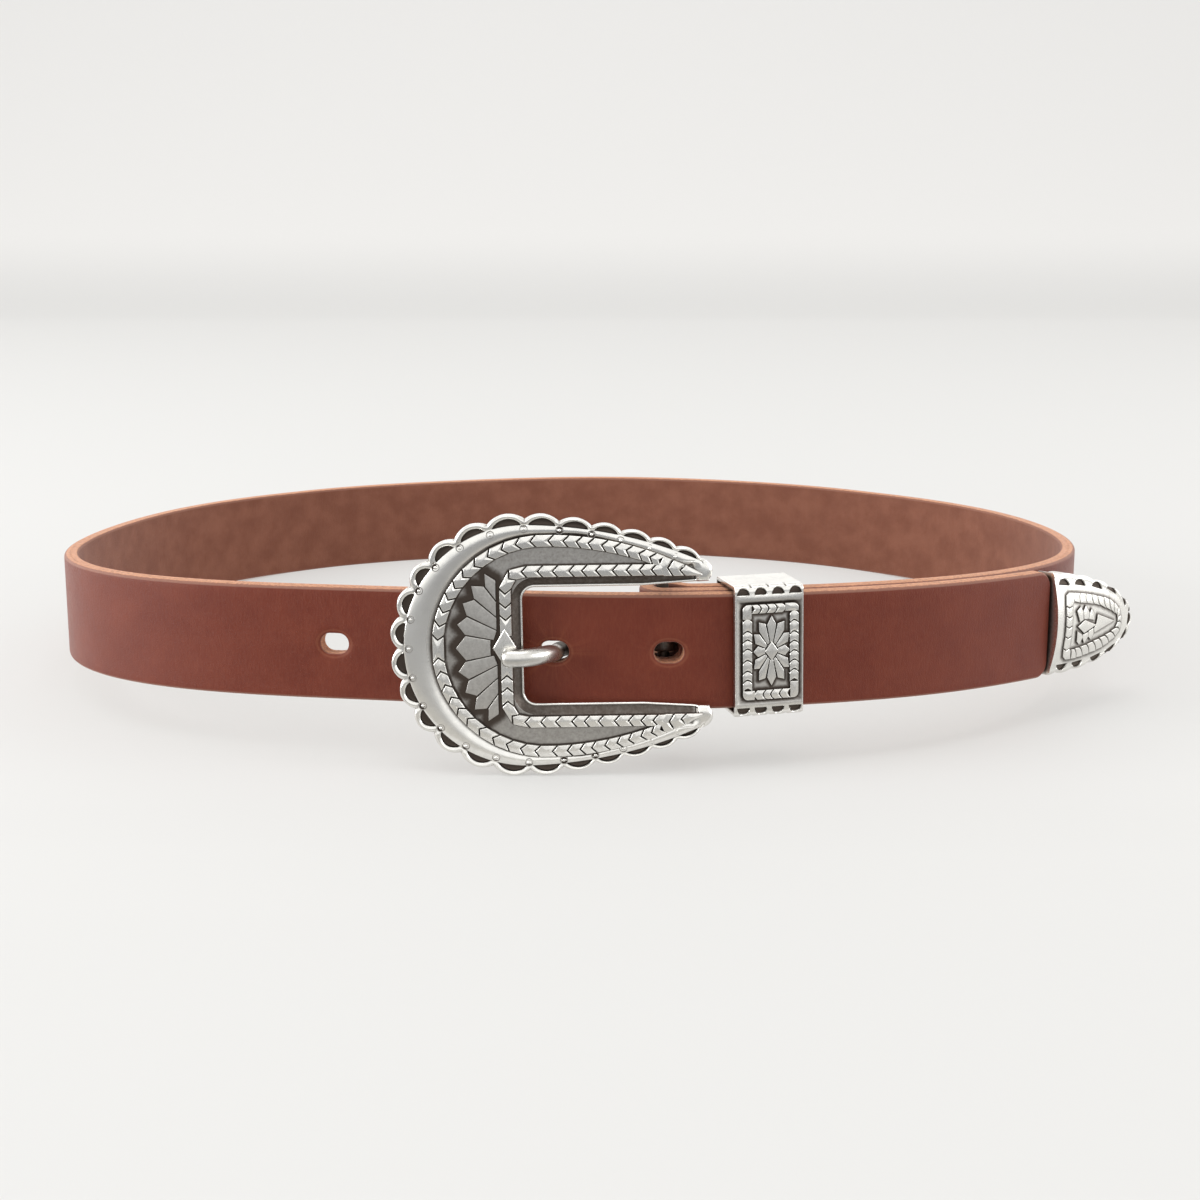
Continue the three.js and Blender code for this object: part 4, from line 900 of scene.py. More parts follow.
@dataclass
class Buckle:
    """The cast frame: scalloped edge, domed band, two chevron rails, a fan of petals, and the bar behind.

    Attributes:
        guide: The line from which the scallops are measured.
        ring: The middle of the outer rail.
        inner_band: The middle of the inner rail, round the opening.
        moon_rim: Metal over each half-moon, round the left and on the arm; the chord and margin are alike.
        arm_from: Lengths along the guide between which sizes ease to those of the arm.
        merge_points: Where along u the blocks begin in which both rails run together, and where the last ends.
        diamond: Its middle in u, its half width and its half height.
        fan_edge: Where along u the fan's petals end; fan_u is where their rays start.
    """

    place: Place
    guide: Chain = Chain((-31.2, 0.0), ((25.7, 90.0), (90.0, 26.0)))
    ring: Chain = Chain((-24.8, 0.0), ((23.1, 90.0), (68.0, 22.0)))
    ring_end: float = 61.0
    inner_band: Chain = Chain((-10.05, 0.0), ((0.0, 12.6), (3.9, 90.0), (0.0, 28.0)))
    scallops: tuple[Scallop, ...] = tuple(
        Scallop(*sizes)
        for sizes in (
            *((6.4, 2.45, 3.95), (6.4, 2.4, 3.9), (6.1, 2.3, 3.85), (6.7, 2.1, 3.65), (7.1, 1.9, 3.4)),
            *((7.6, 1.8, 3.25), (7.2, 1.45, 3.0), (6.9, 1.2, 2.6), (6.3, 1.15, 2.35), (6.3, 1.15, 2.2)),
            *((5.7, 1.15, 2.1), (5.6, 0.9, 1.95)),
        )
    )
    first_cusp: float = 2.3
    scallop_power: float = 0.8
    moon_power: float = 0.62
    columns_per_scallop: int = 20
    plate_back: float = -1.75
    moon_rim: Pair = (1.1, 0.68)
    moon_chord: Pair = (0.85, 0.45)
    moon_depth: float = 0.85
    moon_margin: Pair = (0.85, 0.6)
    arm_from: Pair = (24.0, 58.0)
    arm_end: Pair = (31.6, 15.9)
    arm_middle: Pair = (32.5, 15.3)
    arm_radius: float = 2.6
    arm_end_turn: float = -43.0
    arm_end_steps: int = 22
    lip_left: float = -6.5
    lip_corner: float = 2.7
    lip_high: float = 12.8
    lip_high_at_end: float = 13.75
    bevel_wide: float = 2.3
    bevel_drop: float = 1.3
    rail_half: float = 1.25
    chevron_lean: float = 0.55
    groove: float = 0.3
    petal_groove: float = 0.28
    rail: Relief = Relief(0.95, 0.26, 0.12)
    petal: Relief = Relief(0.55, 0.16, 0.03)
    petal_dark: float = 0.42
    ring_points: tuple[float, ...] = (
        *(2.1, 5.1, 8.2, 11.2, 14.1, 17.1, 20.5, 24.0, 27.3, 30.5),
        *(33.7, 37.5, 40.7, 43.5, 46.0, 48.9, 51.6, 54.2, 57.0, 59.4, 61.5),
    )
    band_points: tuple[float, ...] = (
        *(6.2, 8.9, 11.9, 15.4, 18.6, 22.0, 25.2, 28.7),
        *(31.4, 34.4, 37.9, 40.9, 43.6, 46.2, 48.6),
    )
    band_foot: float = 2.6
    merge_points: tuple[float, ...] = (22.7, 24.8, 27.4, 32.0)
    merge_high: float = 19.4
    merge_low: float = 15.1
    merge_tip: float = 15.5
    diamond: Triple = (-10.35, 2.6, 4.35)
    fan_u: float = -4.5
    fan_edge: float = -12.05
    fan_beside: float = 9.1
    fan_least: float = 8.4
    petals: tuple[Petal, ...] = (
        Petal(-11.2, 11.2, 0.0, 16.4, 14.5, 14.5),
        Petal(11.2, 26.8, 18.0, 16.8, 14.7, 15.4),
        Petal(26.8, 41.3, 33.7, 17.6, 15.6, 16.1),
        Petal(41.3, 53.4, 46.8, 18.6, 16.4, 16.8),
        Petal(53.4, 63.0, 58.7, 18.9, 16.5, 16.6),
    )
    dots: tuple[Pair, ...] = (
        *((-31.0, 0.0), (-30.4, 6.4), (-28.4, 12.6), (-24.7, 17.6), (-19.4, 21.7), (-12.9, 24.4)),
        *((-5.8, 25.6), (1.8, 25.2), (8.6, 24.2), (14.7, 22.8), (20.8, 21.0), (26.2, 19.1)),
    )
    dot_sides: int = 20
    bar_u: float = 23.9
    bar_w: float = -11.25
    bar_radius: float = 1.3
    lug_inner: float = 15.4
    lug_thick: float = 2.4
    lug_wide: float = 4.0

    def along_arm(self, length: Array, sizes: Pair) -> Array:
        """A size that eases from its value round the left to its value on the arm."""
        return blend(sizes[0], sizes[1], ease(length, *self.arm_from))

    def outer_columns(self) -> tuple[Array, ...]:
        """The scallops and their half-moons over the guide line, on the upper half.

        The edge is the straight line between a scallop's cusps plus (peak - middle) * sin(pi * share) ^ power;
        the arc is (peak - rim - chord) * sin^0.62 between the moon's own ends.

        Returns:
            Length along the guide, the edge's height, the arc's height over the moon's chord, and the distance
            to the nearest cusp, each for every column.
        """
        columns, start, before = [], 0.0, self.first_cusp
        for scallop in self.scallops:
            part = np.arange(self.columns_per_scallop) / self.columns_per_scallop
            share = part - np.sin(2 * math.pi * part) * 0.075
            length = start + scallop.pitch * share
            over = scallop.peak - (before + scallop.cusp) / 2
            edge = blend(before, scallop.cusp, share) + over * np.sin(math.pi * share) ** self.scallop_power
            margin = self.along_arm(length, self.moon_margin) / scallop.pitch
            inner = line_share(share, margin, 1.0 - margin)
            rim, chord = (self.along_arm(length, sizes) for sizes in (self.moon_rim, self.moon_chord))
            arc = (scallop.peak - rim - chord) * np.sin(math.pi * inner) ** self.moon_power
            columns.append(np.stack([length, edge, arc, np.minimum(share, 1 - share) * scallop.pitch]))
            start, before = start + scallop.pitch, scallop.cusp
        return tuple(np.concatenate(columns, axis=1))

    def lip_line(self, share: Array, offset: float) -> Array:
        """The opening's edge from its left middle to the arm's end, widened by an offset.

        It is a straight side, a quarter round corner, and a top that rises a little to the right; shares below
        0.3 lie on the side, up to 0.4 on the corner, and the rest on the top.
        """
        radius, side = self.lip_corner + offset, self.lip_high - self.lip_corner
        start_u = self.lip_left + self.lip_corner
        end_u = self.arm_end[0] + self.arm_radius * math.cos(math.radians(self.arm_end_turn))
        turn = math.pi - line_share(share, 0.3, 0.4) * math.pi / 2
        corner = np.array([start_u, side]) + radius * around(turn)
        corner[:, 1] = np.where(share < 0.3, side * share / 0.3, corner[:, 1])
        along = line_share(share, 0.4, 1.0)
        rise = (self.lip_high_at_end - self.lip_high) * line_share(along, 0.62, 1.0)
        top = np.column_stack([blend(start_u, end_u, along), self.lip_high + offset + rise])
        return np.where((share > 0.4)[:, None], top, corner)

    def plate_half(self) -> tuple[Array, Array]:
        """The upper half of the plate as closed sections, from the left middle to the arm's end.

        Each section starts at the back of the outer edge, rounds over the rim, dips into the half-moon, rises
        over the domed band (0.16 (1 - x) + 0.24 sin(pi x^0.85)^0.9 - 0.28 x^5), crosses the channel, and slopes
        down to the lip. A notch of exp(-(distance / 0.5)^2) marks each cusp.

        Returns:
            Points (columns, rows, 3) and their cavity values.
        """
        length, edge, arc, near_cusp = self.outer_columns()
        last, steps = sum(s.pitch for s in self.scallops), self.arm_end_steps
        end_turn = np.radians(np.linspace(90.0, self.arm_end_turn, steps))
        end_edge = np.array(self.arm_end) + self.arm_radius * around(end_turn)
        outer = np.concatenate([self.guide.at(length, edge), end_edge])
        toward = np.linspace(0.0, 1.0, steps)[:, None]

        def carried_on(chain: Chain, lengths: Array, end: float) -> Array:
            """A chain's line, carried on to the arm's middle and then out to its edge."""
            inward = blend(chain.at(end)[0], np.array(self.arm_middle), np.minimum(toward * 1.5, 1.0))
            return np.concatenate([chain.at(lengths), blend(inward, end_edge, ease(toward, 0.75, 1.0))])

        guide_line = carried_on(self.guide, length, last)
        quarters = [chain.arcs[0][0] * math.pi / 2 for chain in (self.guide, self.ring)]
        ring_length = np.interp(length, [0.0, quarters[0], last], [0.0, quarters[1], self.ring_end])
        ring_line = carried_on(self.ring, ring_length, self.ring_end)
        share = np.concatenate([length / last * 0.95, np.linspace(0.95, 1.0, steps)])
        lip = self.lip_line(share, 0.0)
        close = np.concatenate([np.ones(len(length)), 1.0 - toward[:, 0] ** 3])[:, None]
        bevel_top = blend(lip, self.lip_line(share, self.bevel_wide), close)
        arc = np.concatenate([arc, np.zeros(steps)])
        near_cusp = np.concatenate([near_cusp, np.full(steps, FAR)])
        height = np.linalg.norm(outer - guide_line, axis=1)
        every = np.concatenate([length, np.full(steps, last)])
        chord = np.minimum(self.along_arm(every, self.moon_chord), 0.5 * height)
        top = chord + np.maximum(arc, np.minimum(0.12, 0.12 * height))
        inside, notch = ease(arc, 0.02, 0.4), hill(near_cusp, 0.5)
        deep, rim = inside * self.moon_depth, height - top

        section = Section()
        row = section.add

        def out(distance: Array) -> Array:
            """A line between the guide and the outer edge, by its distance from the guide."""
            return guide_line + (outer - guide_line) * (distance / np.maximum(height, 1e-6))[:, None]

        row(out(height - 0.15), self.plate_back, 0.2)
        row(outer, self.plate_back + 0.18, 0.2)
        row(outer, -0.75, 0.1)
        over_rim = (1.0, -0.5), (0.95, -0.25), (0.86, -0.05), (0.72, 0.08), (0.55, 0.12), (0.38, 0.08)
        for x, w in (*over_rim, (0.2, -0.03)):
            row(out(top + rim * x), w - 0.34 * notch * x, 0.5 * notch * x)
        row(out(top + rim * 0.06), -0.14, 0.12)
        wall = np.minimum(0.12, 0.2 * (top - chord))
        row(out(top), -0.2 * np.minimum(deep * 2, 1.0), inside * 0.45)
        row(out(top - wall), -deep, inside)
        for x in (0.8, 0.6, 0.4, 0.2):
            row(out(blend(chord + wall, top - wall, x)), -deep * (1.0 + 0.12 * math.sin(math.pi * x)), inside)
        row(out(chord + wall * 0.7), -deep, inside)
        row(out(chord), 0.02, inside * 0.2)
        row(out(chord - 0.12), 0.1, 0.0)
        band_start = out(chord - 0.25)
        span = np.linalg.norm(guide_line - ring_line, axis=1)
        rail_foot = np.minimum(self.rail_half + 0.42, 0.8 * span)[:, None]
        foot = ring_line + unit(guide_line - ring_line) * rail_foot
        room = np.minimum(1.0, span / 4.5) ** 2
        for x in np.linspace(0.0, 1.0, 15):
            dome = 0.16 * (1 - x) + 0.24 * math.sin(math.pi * x**0.85) ** 0.9 - 0.28 * x**5
            row(blend(band_start, foot, x), blend(0.1, dome, room), 0.62 * x**8)
        row(blend(foot, ring_line, 0.3), -0.2, 0.85)
        row(blend(foot, ring_line, 0.7), -0.16, 0.85)
        for x in np.linspace(0.0, 1.0, 34):
            row(blend(ring_line, bevel_top, x), -0.04, 0.5)
        # The bevel down to the opening is set darker: partly patina, partly painted shade on the inward-facing
        # slope.
        for x, w in ((0.03, 0.05), (0.1, 0.2), (0.3, 0.5), (0.5, 0.76), (0.66, 0.9), (0.72, 0.93)):
            row(blend(bevel_top, lip, x), -0.04 - w * self.bevel_drop, 0.72)
        for x, w in ((0.76, 0.86), (0.82, 0.78), (0.89, 0.76), (0.96, 0.83), (1.0, 0.97)):
            row(blend(bevel_top, lip, x), -w * self.bevel_drop, 0.0)
        row(lip, self.plate_back + 0.08, 0.1)
        for x in (0.01, 0.15, 0.4, 0.65, 0.85):
            row(blend(lip, outer, x), self.plate_back, 0.2)
        flat, raised, cavity = section.grid()
        arm_end = np.concatenate([outer[-steps - 8 :], lip[-steps - 8 :][::-1]])
        boss = np.concatenate([ease(length, last - 1.2, last + 1.5) * 0.6, ease(toward[:, 0], 0.0, 0.35)])
        columns = np.flatnonzero(boss > 0)
        near = distance_to(flat[columns].reshape(-1, 2), [arm_end]).reshape(len(columns), -1)
        share = boss[columns][:, None] * (raised[columns] > -1.45)
        raised[columns] = blend(raised[columns], 0.16 - 0.75 * np.exp(-near / 0.45), share)
        cavity[columns] = blend(cavity[columns], 0.12, share)
        return np.concatenate([flat, raised[..., None]], axis=2), cavity

    def outlines(self) -> tuple[list[Array], list[Array]]:
        """Outlines of the blocks of both rails, and of the fan's petals, above and below the middle."""
        upper = self.chevrons(self.ring, self.ring_points) + self.chevrons(self.inner_band, self.band_points)
        upper += self.merged()
        foot = self.band_points[0] - self.groove
        lengths = np.array([self.band_foot, self.band_foot, foot + self.notch, foot, foot + self.notch])
        upper.append(self.inner_band.at(lengths, self.rail_half * np.array([1.0, -1.0, -1.0, 0.0, 1.0])))
        foot = self.ring_points[0] - self.groove
        offsets = self.rail_half * np.array([1.0, 0.0, -1.0])
        middle = self.ring.at(np.array([foot + self.notch, foot, foot + self.notch]), offsets)
        rails = [*upper, *map(mirrored, upper), np.concatenate([middle, mirrored(middle)[::-1]])]

        def foot_radius(angle: float) -> float:
            """Radius at which a petal of the fan's sides begins: at its straight edge, or a least radius."""
            return max((self.fan_u - self.fan_edge) / math.cos(math.radians(angle)), self.fan_least)

        fan_blocks = []
        for petal in self.petals:
            central = petal.tip == 0.0
            foot_at = (lambda angle: self.fan_beside) if central else foot_radius
            left = petal.outline((-self.fan_u, 0.0), foot_at, self.petal_groove) * np.array([-1.0, 1.0])
            fan_blocks += [left] if central else [left, mirrored(left)]
        return rails, fan_blocks

    @property
    def notch(self) -> float:
        """How far a chevron's arms reach past its point."""
        return 2 * self.chevron_lean

    def chevrons(self, chain: Chain, points: Sequence[float]) -> list[Array]:
        """Blocks of a rail between one point and the next, each with its own point towards the start."""
        offsets = self.rail_half * np.array([1.0, 0.0, -1.0, -1.0, 0.0, 1.0])
        shape = self.notch * np.array([1.0, 0.0, 1.0, 1.0, 0.0, 1.0])
        pairs = zip(points, (p - self.groove for p in points[1:]))
        return [chain.at(np.repeat([start, end], 3) + shape, offsets) for start, end in pairs]

    def merged(self) -> list[Array]:
        """Blocks in which both rails run together to a point near the arm's end."""
        first, last = self.merge_points[0], self.merge_points[-1]

        def edge(u: float) -> list[list[float]]:
            """The notched side of a block at a distance along the arm."""
            top = float(np.interp(u, [first, last], [self.merge_high, self.merge_tip]))
            return [[u + self.notch, top], [u, (top + self.merge_low) / 2], [u + self.notch, self.merge_low]]

        blocks = []
        for start, end in zip(self.merge_points, self.merge_points[1:]):
            point = [[last, self.merge_low], [last, self.merge_tip]]
            blocks.append(np.array(edge(start) + (point if end == last else edge(end - self.groove)[::-1])))
        return blocks

    def dot(self, at: Pair) -> Shell:
        """A bead in a sunk ring, turned about its own axis and let into the band, lower on the arm."""
        rings = np.array(
            [
                *((0.0, -0.6, 0.6), (0.92, -0.6, 0.6), (0.92, 0.04, 0.6), (0.88, 0.1, 0.45)),
                *((0.8, 0.12, 0.4), (0.72, 0.08, 0.9), (0.68, -0.06, 1.0), (0.44, -0.06, 1.0)),
                *((0.37, 0.08, 0.8), (0.3, 0.2, 0.0), (0.17, 0.28, 0.0), (0.0, 0.3, 0.0)),
            ]
        )
        height = blend(0.24, 0.14, float(ease(at[0], 2.0, 24.0)))
        return lathe(rings[:, :2], self.dot_sides, (*at, height), rings[:, 2:])

    def plate(self, walls: Sequence[Array], petals: Sequence[Array]) -> Shell:
        """Both halves of the plate as one shell, darker close to the foot of every raised block.

        The darkness is exp(-distance / 0.45) of the distance to the nearest block, patina at the feet, and a
        wider 0.88 * exp(-(distance / 2.9)^2) round the fan, partly patina and partly painted shade.

        Args:
            walls: Outlines of the blocks.
            petals: Outlines of the fan's petals.

        Returns:
            The shell.
        """
        upper, cavity = self.plate_half()
        points = np.concatenate([upper[:0:-1] * np.array([1.0, -1.0, 1.0]), upper])
        dark = np.concatenate([cavity[:0:-1], cavity])
        front = (points[..., 2] > -0.3) & (points[..., 2] < 0.02)
        near, wide = np.full(dark.shape, FAR), np.full(dark.shape, FAR)
        near[front] = distance_to(points[front][:, :2], walls)
        wide[front] = distance_to(points[front][:, :2], petals)
        # The wide falloff round the fan is partly patina, partly painted shade.
        return Shell.grid(points, most(dark, np.exp(-near / 0.45), 0.88 * hill(wide, 2.9)))

    def bar(self) -> Shell:
        """The bar and the two lugs that carry it, as rounded bodies, set dark as painted shade."""
        reach = self.lug_inner + self.lug_thick - 0.4
        profile = [(0.0, -reach), *((self.bar_radius, z) for z in np.linspace(-reach, reach, 9)), (0.0, reach)]
        # Painted shade: the bar is set almost fully dark, as it lies behind the plate inside the leather's fold.
        rod = lathe(profile, 28, (0.0, 0.0, 0.0), 0.95)
        rod.points = rod.points[:, [0, 2, 1]] + np.array([self.bar_u, 0.0, self.bar_w])
        corners = np.array([[-1.0, -1.0], [1.0, -1.0], [1.0, 1.0], [-1.0, 1.0]]) / 2
        size = np.array([self.lug_wide, self.lug_thick])
        shells = [rod]
        for side in (1.0, -1.0):
            middle = np.array([self.bar_u, side * (self.lug_inner + self.lug_thick / 2)])
            lug = Relief(self.bar_radius - self.bar_w, 0.5, 0.1, sink=-0.9).block(middle + corners * size)
            lug.points = lug.points * np.array([1.0, 1.0, -1.0])
            # Painted shade: the lugs behind the plate are set darker for the shade they stand in.
            lug.values["cavity"] = np.full(len(lug.points), 0.6)
            shells.append(lug)
        return Shell.joined(shells)

    def build(self, finish: Material) -> Object:
        """Makes the frame's object, one casting out of its plate, blocks, dots and bar."""
        rails, fan_blocks = self.outlines()
        diamond = rhomb((self.diamond[0], 0.0), *self.diamond[1:])
        petals = [self.petal.block(o, count=28) for o in fan_blocks]
        for petal in petals:
            petal.values["cavity"] = np.maximum(petal.values["cavity"], self.petal_dark)
        shells = [
            self.plate([*rails, *fan_blocks, diamond], fan_blocks),
            *(self.rail.block(o) for o in rails),
            *petals,
            Relief(1.15, 0.3, 0.1).block(diamond),
            *(self.dot(at) for at in [*self.dots, *((u, -v) for u, v in self.dots[1:])]),
            self.bar(),
        ]
        casting = Shell.joined(shells).placed(self.place).object("buckle_casting", finish)
        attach(casting, BODY)
        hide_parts("buckle_frame")
        return casting


# The prong, keeper, tip and rivet


@dataclass
class Prong:
    """The prong: a round rod swept along its route of (u, w, radius), and the eye that turns on the bar."""

    place: Place
    route: tuple[Triple, ...] = (
        *((-11.2, 3.4, 0.6), (-10.9, 3.42, 1.3), (-10.2, 3.45, 1.8), (-9.2, 3.48, 1.95), (-6.6, 3.35, 1.95)),
        *((-4.0, 2.1, 1.95), (-1.8, 0.1, 1.9), (-0.3, -2.4, 1.85), (0.5, -5.0, 1.85), (1.3, -7.4, 1.75)),
        *((3.2, -9.1, 1.65), (6.4, -9.8, 1.6), (13.0, -10.4, 1.6), (21.4, -11.0, 1.6)),
    )
    middle_v: float = -1.7
    drop_v: float = 0.6
    nose: float = 1.9
    full_from: int = 3
    sides: int = 40
    steps: int = 120
    eye_outer: float = 3.1
    eye_inner: float = 1.6
    eye_wide: float = 3.6
    eye_round: float = 0.55
    eye_sides: tuple[int, int] = (24, 44)

    def rod(self) -> Shell:
        """The rod: rings square to a smooth line through the route, each with the radius found there."""
        knots = np.array(self.route)
        length = lengths_along(knots[:, :2])
        wanted = length[-1] * np.linspace(0.0, 1.0, self.steps)
        u, w = (smooth_through(length, knots[:, k], wanted) for k in (0, 1))
        k = self.full_from
        radius = smooth_through(length[k:], knots[k:, 2], np.maximum(wanted, length[k]))
        radius = radius * np.sqrt(1.0 - (1.0 - np.clip(wanted / self.nose, 0.0, 1.0)) ** 2.2)
        out = left_of(unit(np.column_stack([np.gradient(u, wanted), np.gradient(w, wanted)]))) * radius[:, None]
        along_v, up = around(full_turn(self.sides)).T
        up = up * (1.0 - 0.1 * np.maximum(up, 0.0) ** 2)
        middle = self.middle_v - self.drop_v * ease(-w, 0.0, 5.0)
        v = middle[:, None] + radius[:, None] * along_v
        rings = np.stack([u[:, None] + out[:, :1] * up, v, w[:, None] + out[:, 1:] * up], axis=2)
        # Painted shade: the rod grows darker from where it goes down through the strap's hole to the bar behind.
        return Shell.grid(rings, 0.3 + 0.6 * ease(-w, 3.0, 6.5)[:, None])

    def eye(self, bar: Pair) -> Shell:
        """The ring round the bar, turned about it, with rounded rims."""
        rim = around(full_turn(self.eye_sides[0]))
        across, along = (np.sign(rim) * np.abs(rim) ** self.eye_round).T
        across = across * (self.eye_outer - self.eye_inner) / 2 + (self.eye_outer + self.eye_inner) / 2
        flat = np.array(bar) + across[:, None, None] * around(full_turn(self.eye_sides[1]))
        v = np.broadcast_to(self.middle_v + along[:, None] * self.eye_wide / 2, flat.shape[:2])
        # Painted shade: the eye round the bar, inside the fold, is set dark.
        return Shell.grid(np.stack([flat[..., 0], v, flat[..., 1]], axis=2), 0.7, close_rows=True)

    def build(self, bar: Pair, finish: Material) -> Object:
        """Makes the prong's object.

        Args:
            bar: Where the bar lies, in u and w.
            finish: The silver.

        Returns:
            The object.
        """
        shell = Shell.joined([self.rod(), self.eye(bar)]).placed(self.place)
        prong = shell.object("prong_silver", finish, sharp=60.0)
        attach(prong, BODY)
        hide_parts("prong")
        return prong


@dataclass(frozen=True)
class HalfMoon:
    """A half-moon cut: its chord is straight and its arc is high * (1 - (x / half)^2)^0.6."""

    half: float
    high: float
    deep: float

    def cut(self, across: Array, over: Array) -> tuple[Array, Array]:
        """Depth and darkness at distances from its middle along the chord, and from the chord to its arc."""
        arc = self.high * (1.0 - np.clip(np.abs(across) / self.half, 0.0, 1.0) ** 2) ** 0.6
        inside = ease(over, 0.0, 0.14) * ease(arc - over, 0.0, 0.2)
        return self.deep * inside, inside


@dataclass
class Keeper:
    """The keeper: a band bent round both plies, with a rope border, four moons above and below, and a flower.

    Attributes:
        front: Distance of the band's inner face behind its front.
        rope_left: Heights of the cuts between the blocks of the rope's left side; the others are alike.
        corners: Left or right end, inner end, start and end in height of each corner block.
        side_bands: Where the rope's left and right sides begin and end in u; end_bands are alike in v.
        rim: u of each line over a rim, and how far it lies under the front.
    """

    place: Place
    half_high: float = 14.5
    half_wide: float = 7.5
    columns: int = 150
    front: float = 1.3
    wall: float = 1.0
    corner: float = 1.3
    depth: float = 14.7
    ground: float = 0.42
    rope_left: tuple[float, ...] = (7.1, 4.3, 2.4, 0.4, -2.1, -4.5, -6.5, -8.5)
    rope_right: tuple[float, ...] = (8.5, 6.3, 3.8, 1.7, -0.4, -2.5, -4.6, -6.9)
    rope_top: tuple[float, ...] = (-3.9, -2.2, -0.5, 1.4, 3.4)
    rope_bottom: tuple[float, ...] = (-3.2, -1.1, 0.6, 2.6, 4.6)
    corners: tuple[Four, ...] = (
        *((-6.0, -3.9, 7.1, 10.4), (6.6, 3.4, 8.5, 10.4), (-6.0, -3.2, -8.5, -10.7), (6.6, 4.6, -6.9, -10.7)),
    )
    corner_round: float = 1.2
    side_bands: Four = (-6.0, -3.9, 4.6, 6.6)
    end_bands: Four = (8.4, 10.4, -8.6, -10.7)
    rim: tuple[Pair, ...] = ((7.62, 0.02), (7.69, 0.09), (7.7, 0.2))
    bow: float = 0.7
    groove: float = 0.24
    moon_pitch: float = 3.9
    moon_chord: float = 12.45
    moon: HalfMoon = HalfMoon(1.42, 1.75, 0.55)
    flower: Pair = (0.5, 0.0)
    petals: tuple[Petal, ...] = (
        Petal(78.5, 101.5, 90.0, 7.8, 5.9, 5.9),
        Petal(56.0, 78.5, 65.8, 7.1, 5.3, 6.2),
        Petal(24.0, 56.0, 44.0, 5.6, 4.1, 4.7),
        Petal(-24.0, 24.0, 0.0, 4.15, 3.3, 3.3),
    )
    heart: Pair = (1.55, 2.15)

    def front_height(self, flat: Array) -> tuple[Array, Array]:
        """Height below or above the front's face at points of it (n, 2), and the cavity value, which is patina
        with a wider falloff that is partly painted shade.

        From the left and right rims a slope falls to the rope's foot; above and below the rope lies a low
        cushion with the four half-moons.
        """
        u, v = flat.T
        left, right, top, bottom = self.side_bands[0], self.side_bands[3], self.end_bands[1], self.end_bands[3]
        beside = np.maximum(line_share(-u, 0.05 - left, 7.35), line_share(u, right + 0.05, 7.4))
        over = np.maximum(ease(v, top, top + 0.9), ease(-v, -bottom, 0.9 - bottom))
        cushion = hill(np.abs(v) - 11.8, 0.9) * np.sqrt(np.clip(1 - (u / 7.6) ** 2, 0, 1))
        height = self.ground * (np.maximum(beside, over) - 1.0) + 0.12 * cushion
        foot = most(left - u, u - right, v - top, bottom - v)
        # The narrow darkening at the rope's foot and in the panel is patina; the wider 0.66 falloff is partly
        # patina, partly painted shade.
        cavity = most(0.8 * hill(foot, 0.22), 0.66 * hill(foot, 1.3), 0.4 * (foot < 0))
        for side in (1.0, -1.0):
            for k in range(4):
                across = u - (k - 1.5) * self.moon_pitch
                hollow, dark = self.moon.cut(across, side * v - self.moon_chord)
                nick = hill(across - self.moon_pitch / 2, 0.25) * ease(np.abs(v), 14.0, 14.45)
                height = height - hollow - 0.3 * nick
                cavity = most(cavity, dark, 0.9 * nick)
        return height, cavity

    def section(self) -> Array:
        """The band's outer section in v and w, fine on the front and its two corners."""
        high, radius, back = self.half_high, self.corner, -self.depth
        wide = high - radius
        fine, plain = (radius * around(np.linspace(0.0, math.pi / 2, n)) for n in (26, 9))
        side = np.linspace(-radius, back + radius, 14)[1:-1]
        pieces = (
            (np.linspace(wide, -wide, 190), 0.0),
            (-wide - fine[1:, 1], fine[1:, 0] - radius),
            (-high, side),
            (-wide - plain[:, 0], back + radius - plain[:, 1]),
            (np.linspace(-wide, wide, 14)[1:-1], back),
            (wide + plain[:, 1], back + radius - plain[:, 0]),
            (high, side[::-1]),
            (wide + fine[:-1, 0], fine[:-1, 1] - radius),
        )
        return np.concatenate([np.column_stack(np.broadcast_arrays(*p)) for p in pieces])

    def band(self, walls: Sequence[Array]) -> Shell:
        """The band: its section carried across u with the front's relief, over both rims, and back inside.

        Args:
            walls: Outlines of the blocks that stand on the front.

        Returns:
            The shell.
        """
        outer = self.section()
        normal = left_of(unit(np.roll(outer, -1, axis=0) - np.roll(outer, 1, axis=0)))
        normal = normal * np.where(normal[:1, 1:] < 0, -1.0, 1.0)
        least = (self.wall - self.half_high, self.wall - self.depth)
        inner = np.clip(outer, least, (self.half_high - self.wall, -self.front))
        columns = np.linspace(-self.half_wide, self.half_wide, self.columns)[:, None]
        flat = np.stack(np.broadcast_arrays(columns, outer[:, 0]), axis=2)
        on_front = np.broadcast_to(outer[:, 1] > -1.55, flat.shape[:2])
        height, cavity = np.full(on_front.shape, -0.03), np.full(on_front.shape, 0.25)
        height[on_front], dark = self.front_height(flat[on_front])
        distance = distance_to(flat[on_front], walls)
        # The narrow falloff at the blocks' feet is patina; the wide 0.8 falloff is partly patina, partly painted
        # shade.
        cavity[on_front] = most(dark, 0.95 * np.exp(-distance / 0.36), 0.8 * hill(distance, 1.1))

        def over_rim(side: float, edge: Array) -> Array:
            """Lines over a rim and back inside."""
            lines = [(u, outer + normal * (edge - drop)[:, None]) for u, drop in self.rim]
            lines += [(7.7, blend(inner, outer, 0.12)), (7.6, inner)]
            return np.array([np.column_stack([np.full(len(line), u * side), line]) for u, line in lines])

        body = np.concatenate([flat[..., :1], outer + normal * height[..., None]], axis=2)
        rings = [body, over_rim(1.0, height[-1]), over_rim(-1.0, height[0])[::-1]]
        # Painted shade: the band's inside, round the plies, is set dark, easing to none over the rims.
        rims = np.repeat([[0.0, 0.0, 0.1, 0.5, 0.9, 0.9, 0.5, 0.1, 0.0, 0.0]], len(outer), axis=0).T
        return Shell.grid(np.concatenate(rings), np.concatenate([cavity, rims]), close_rows=True)

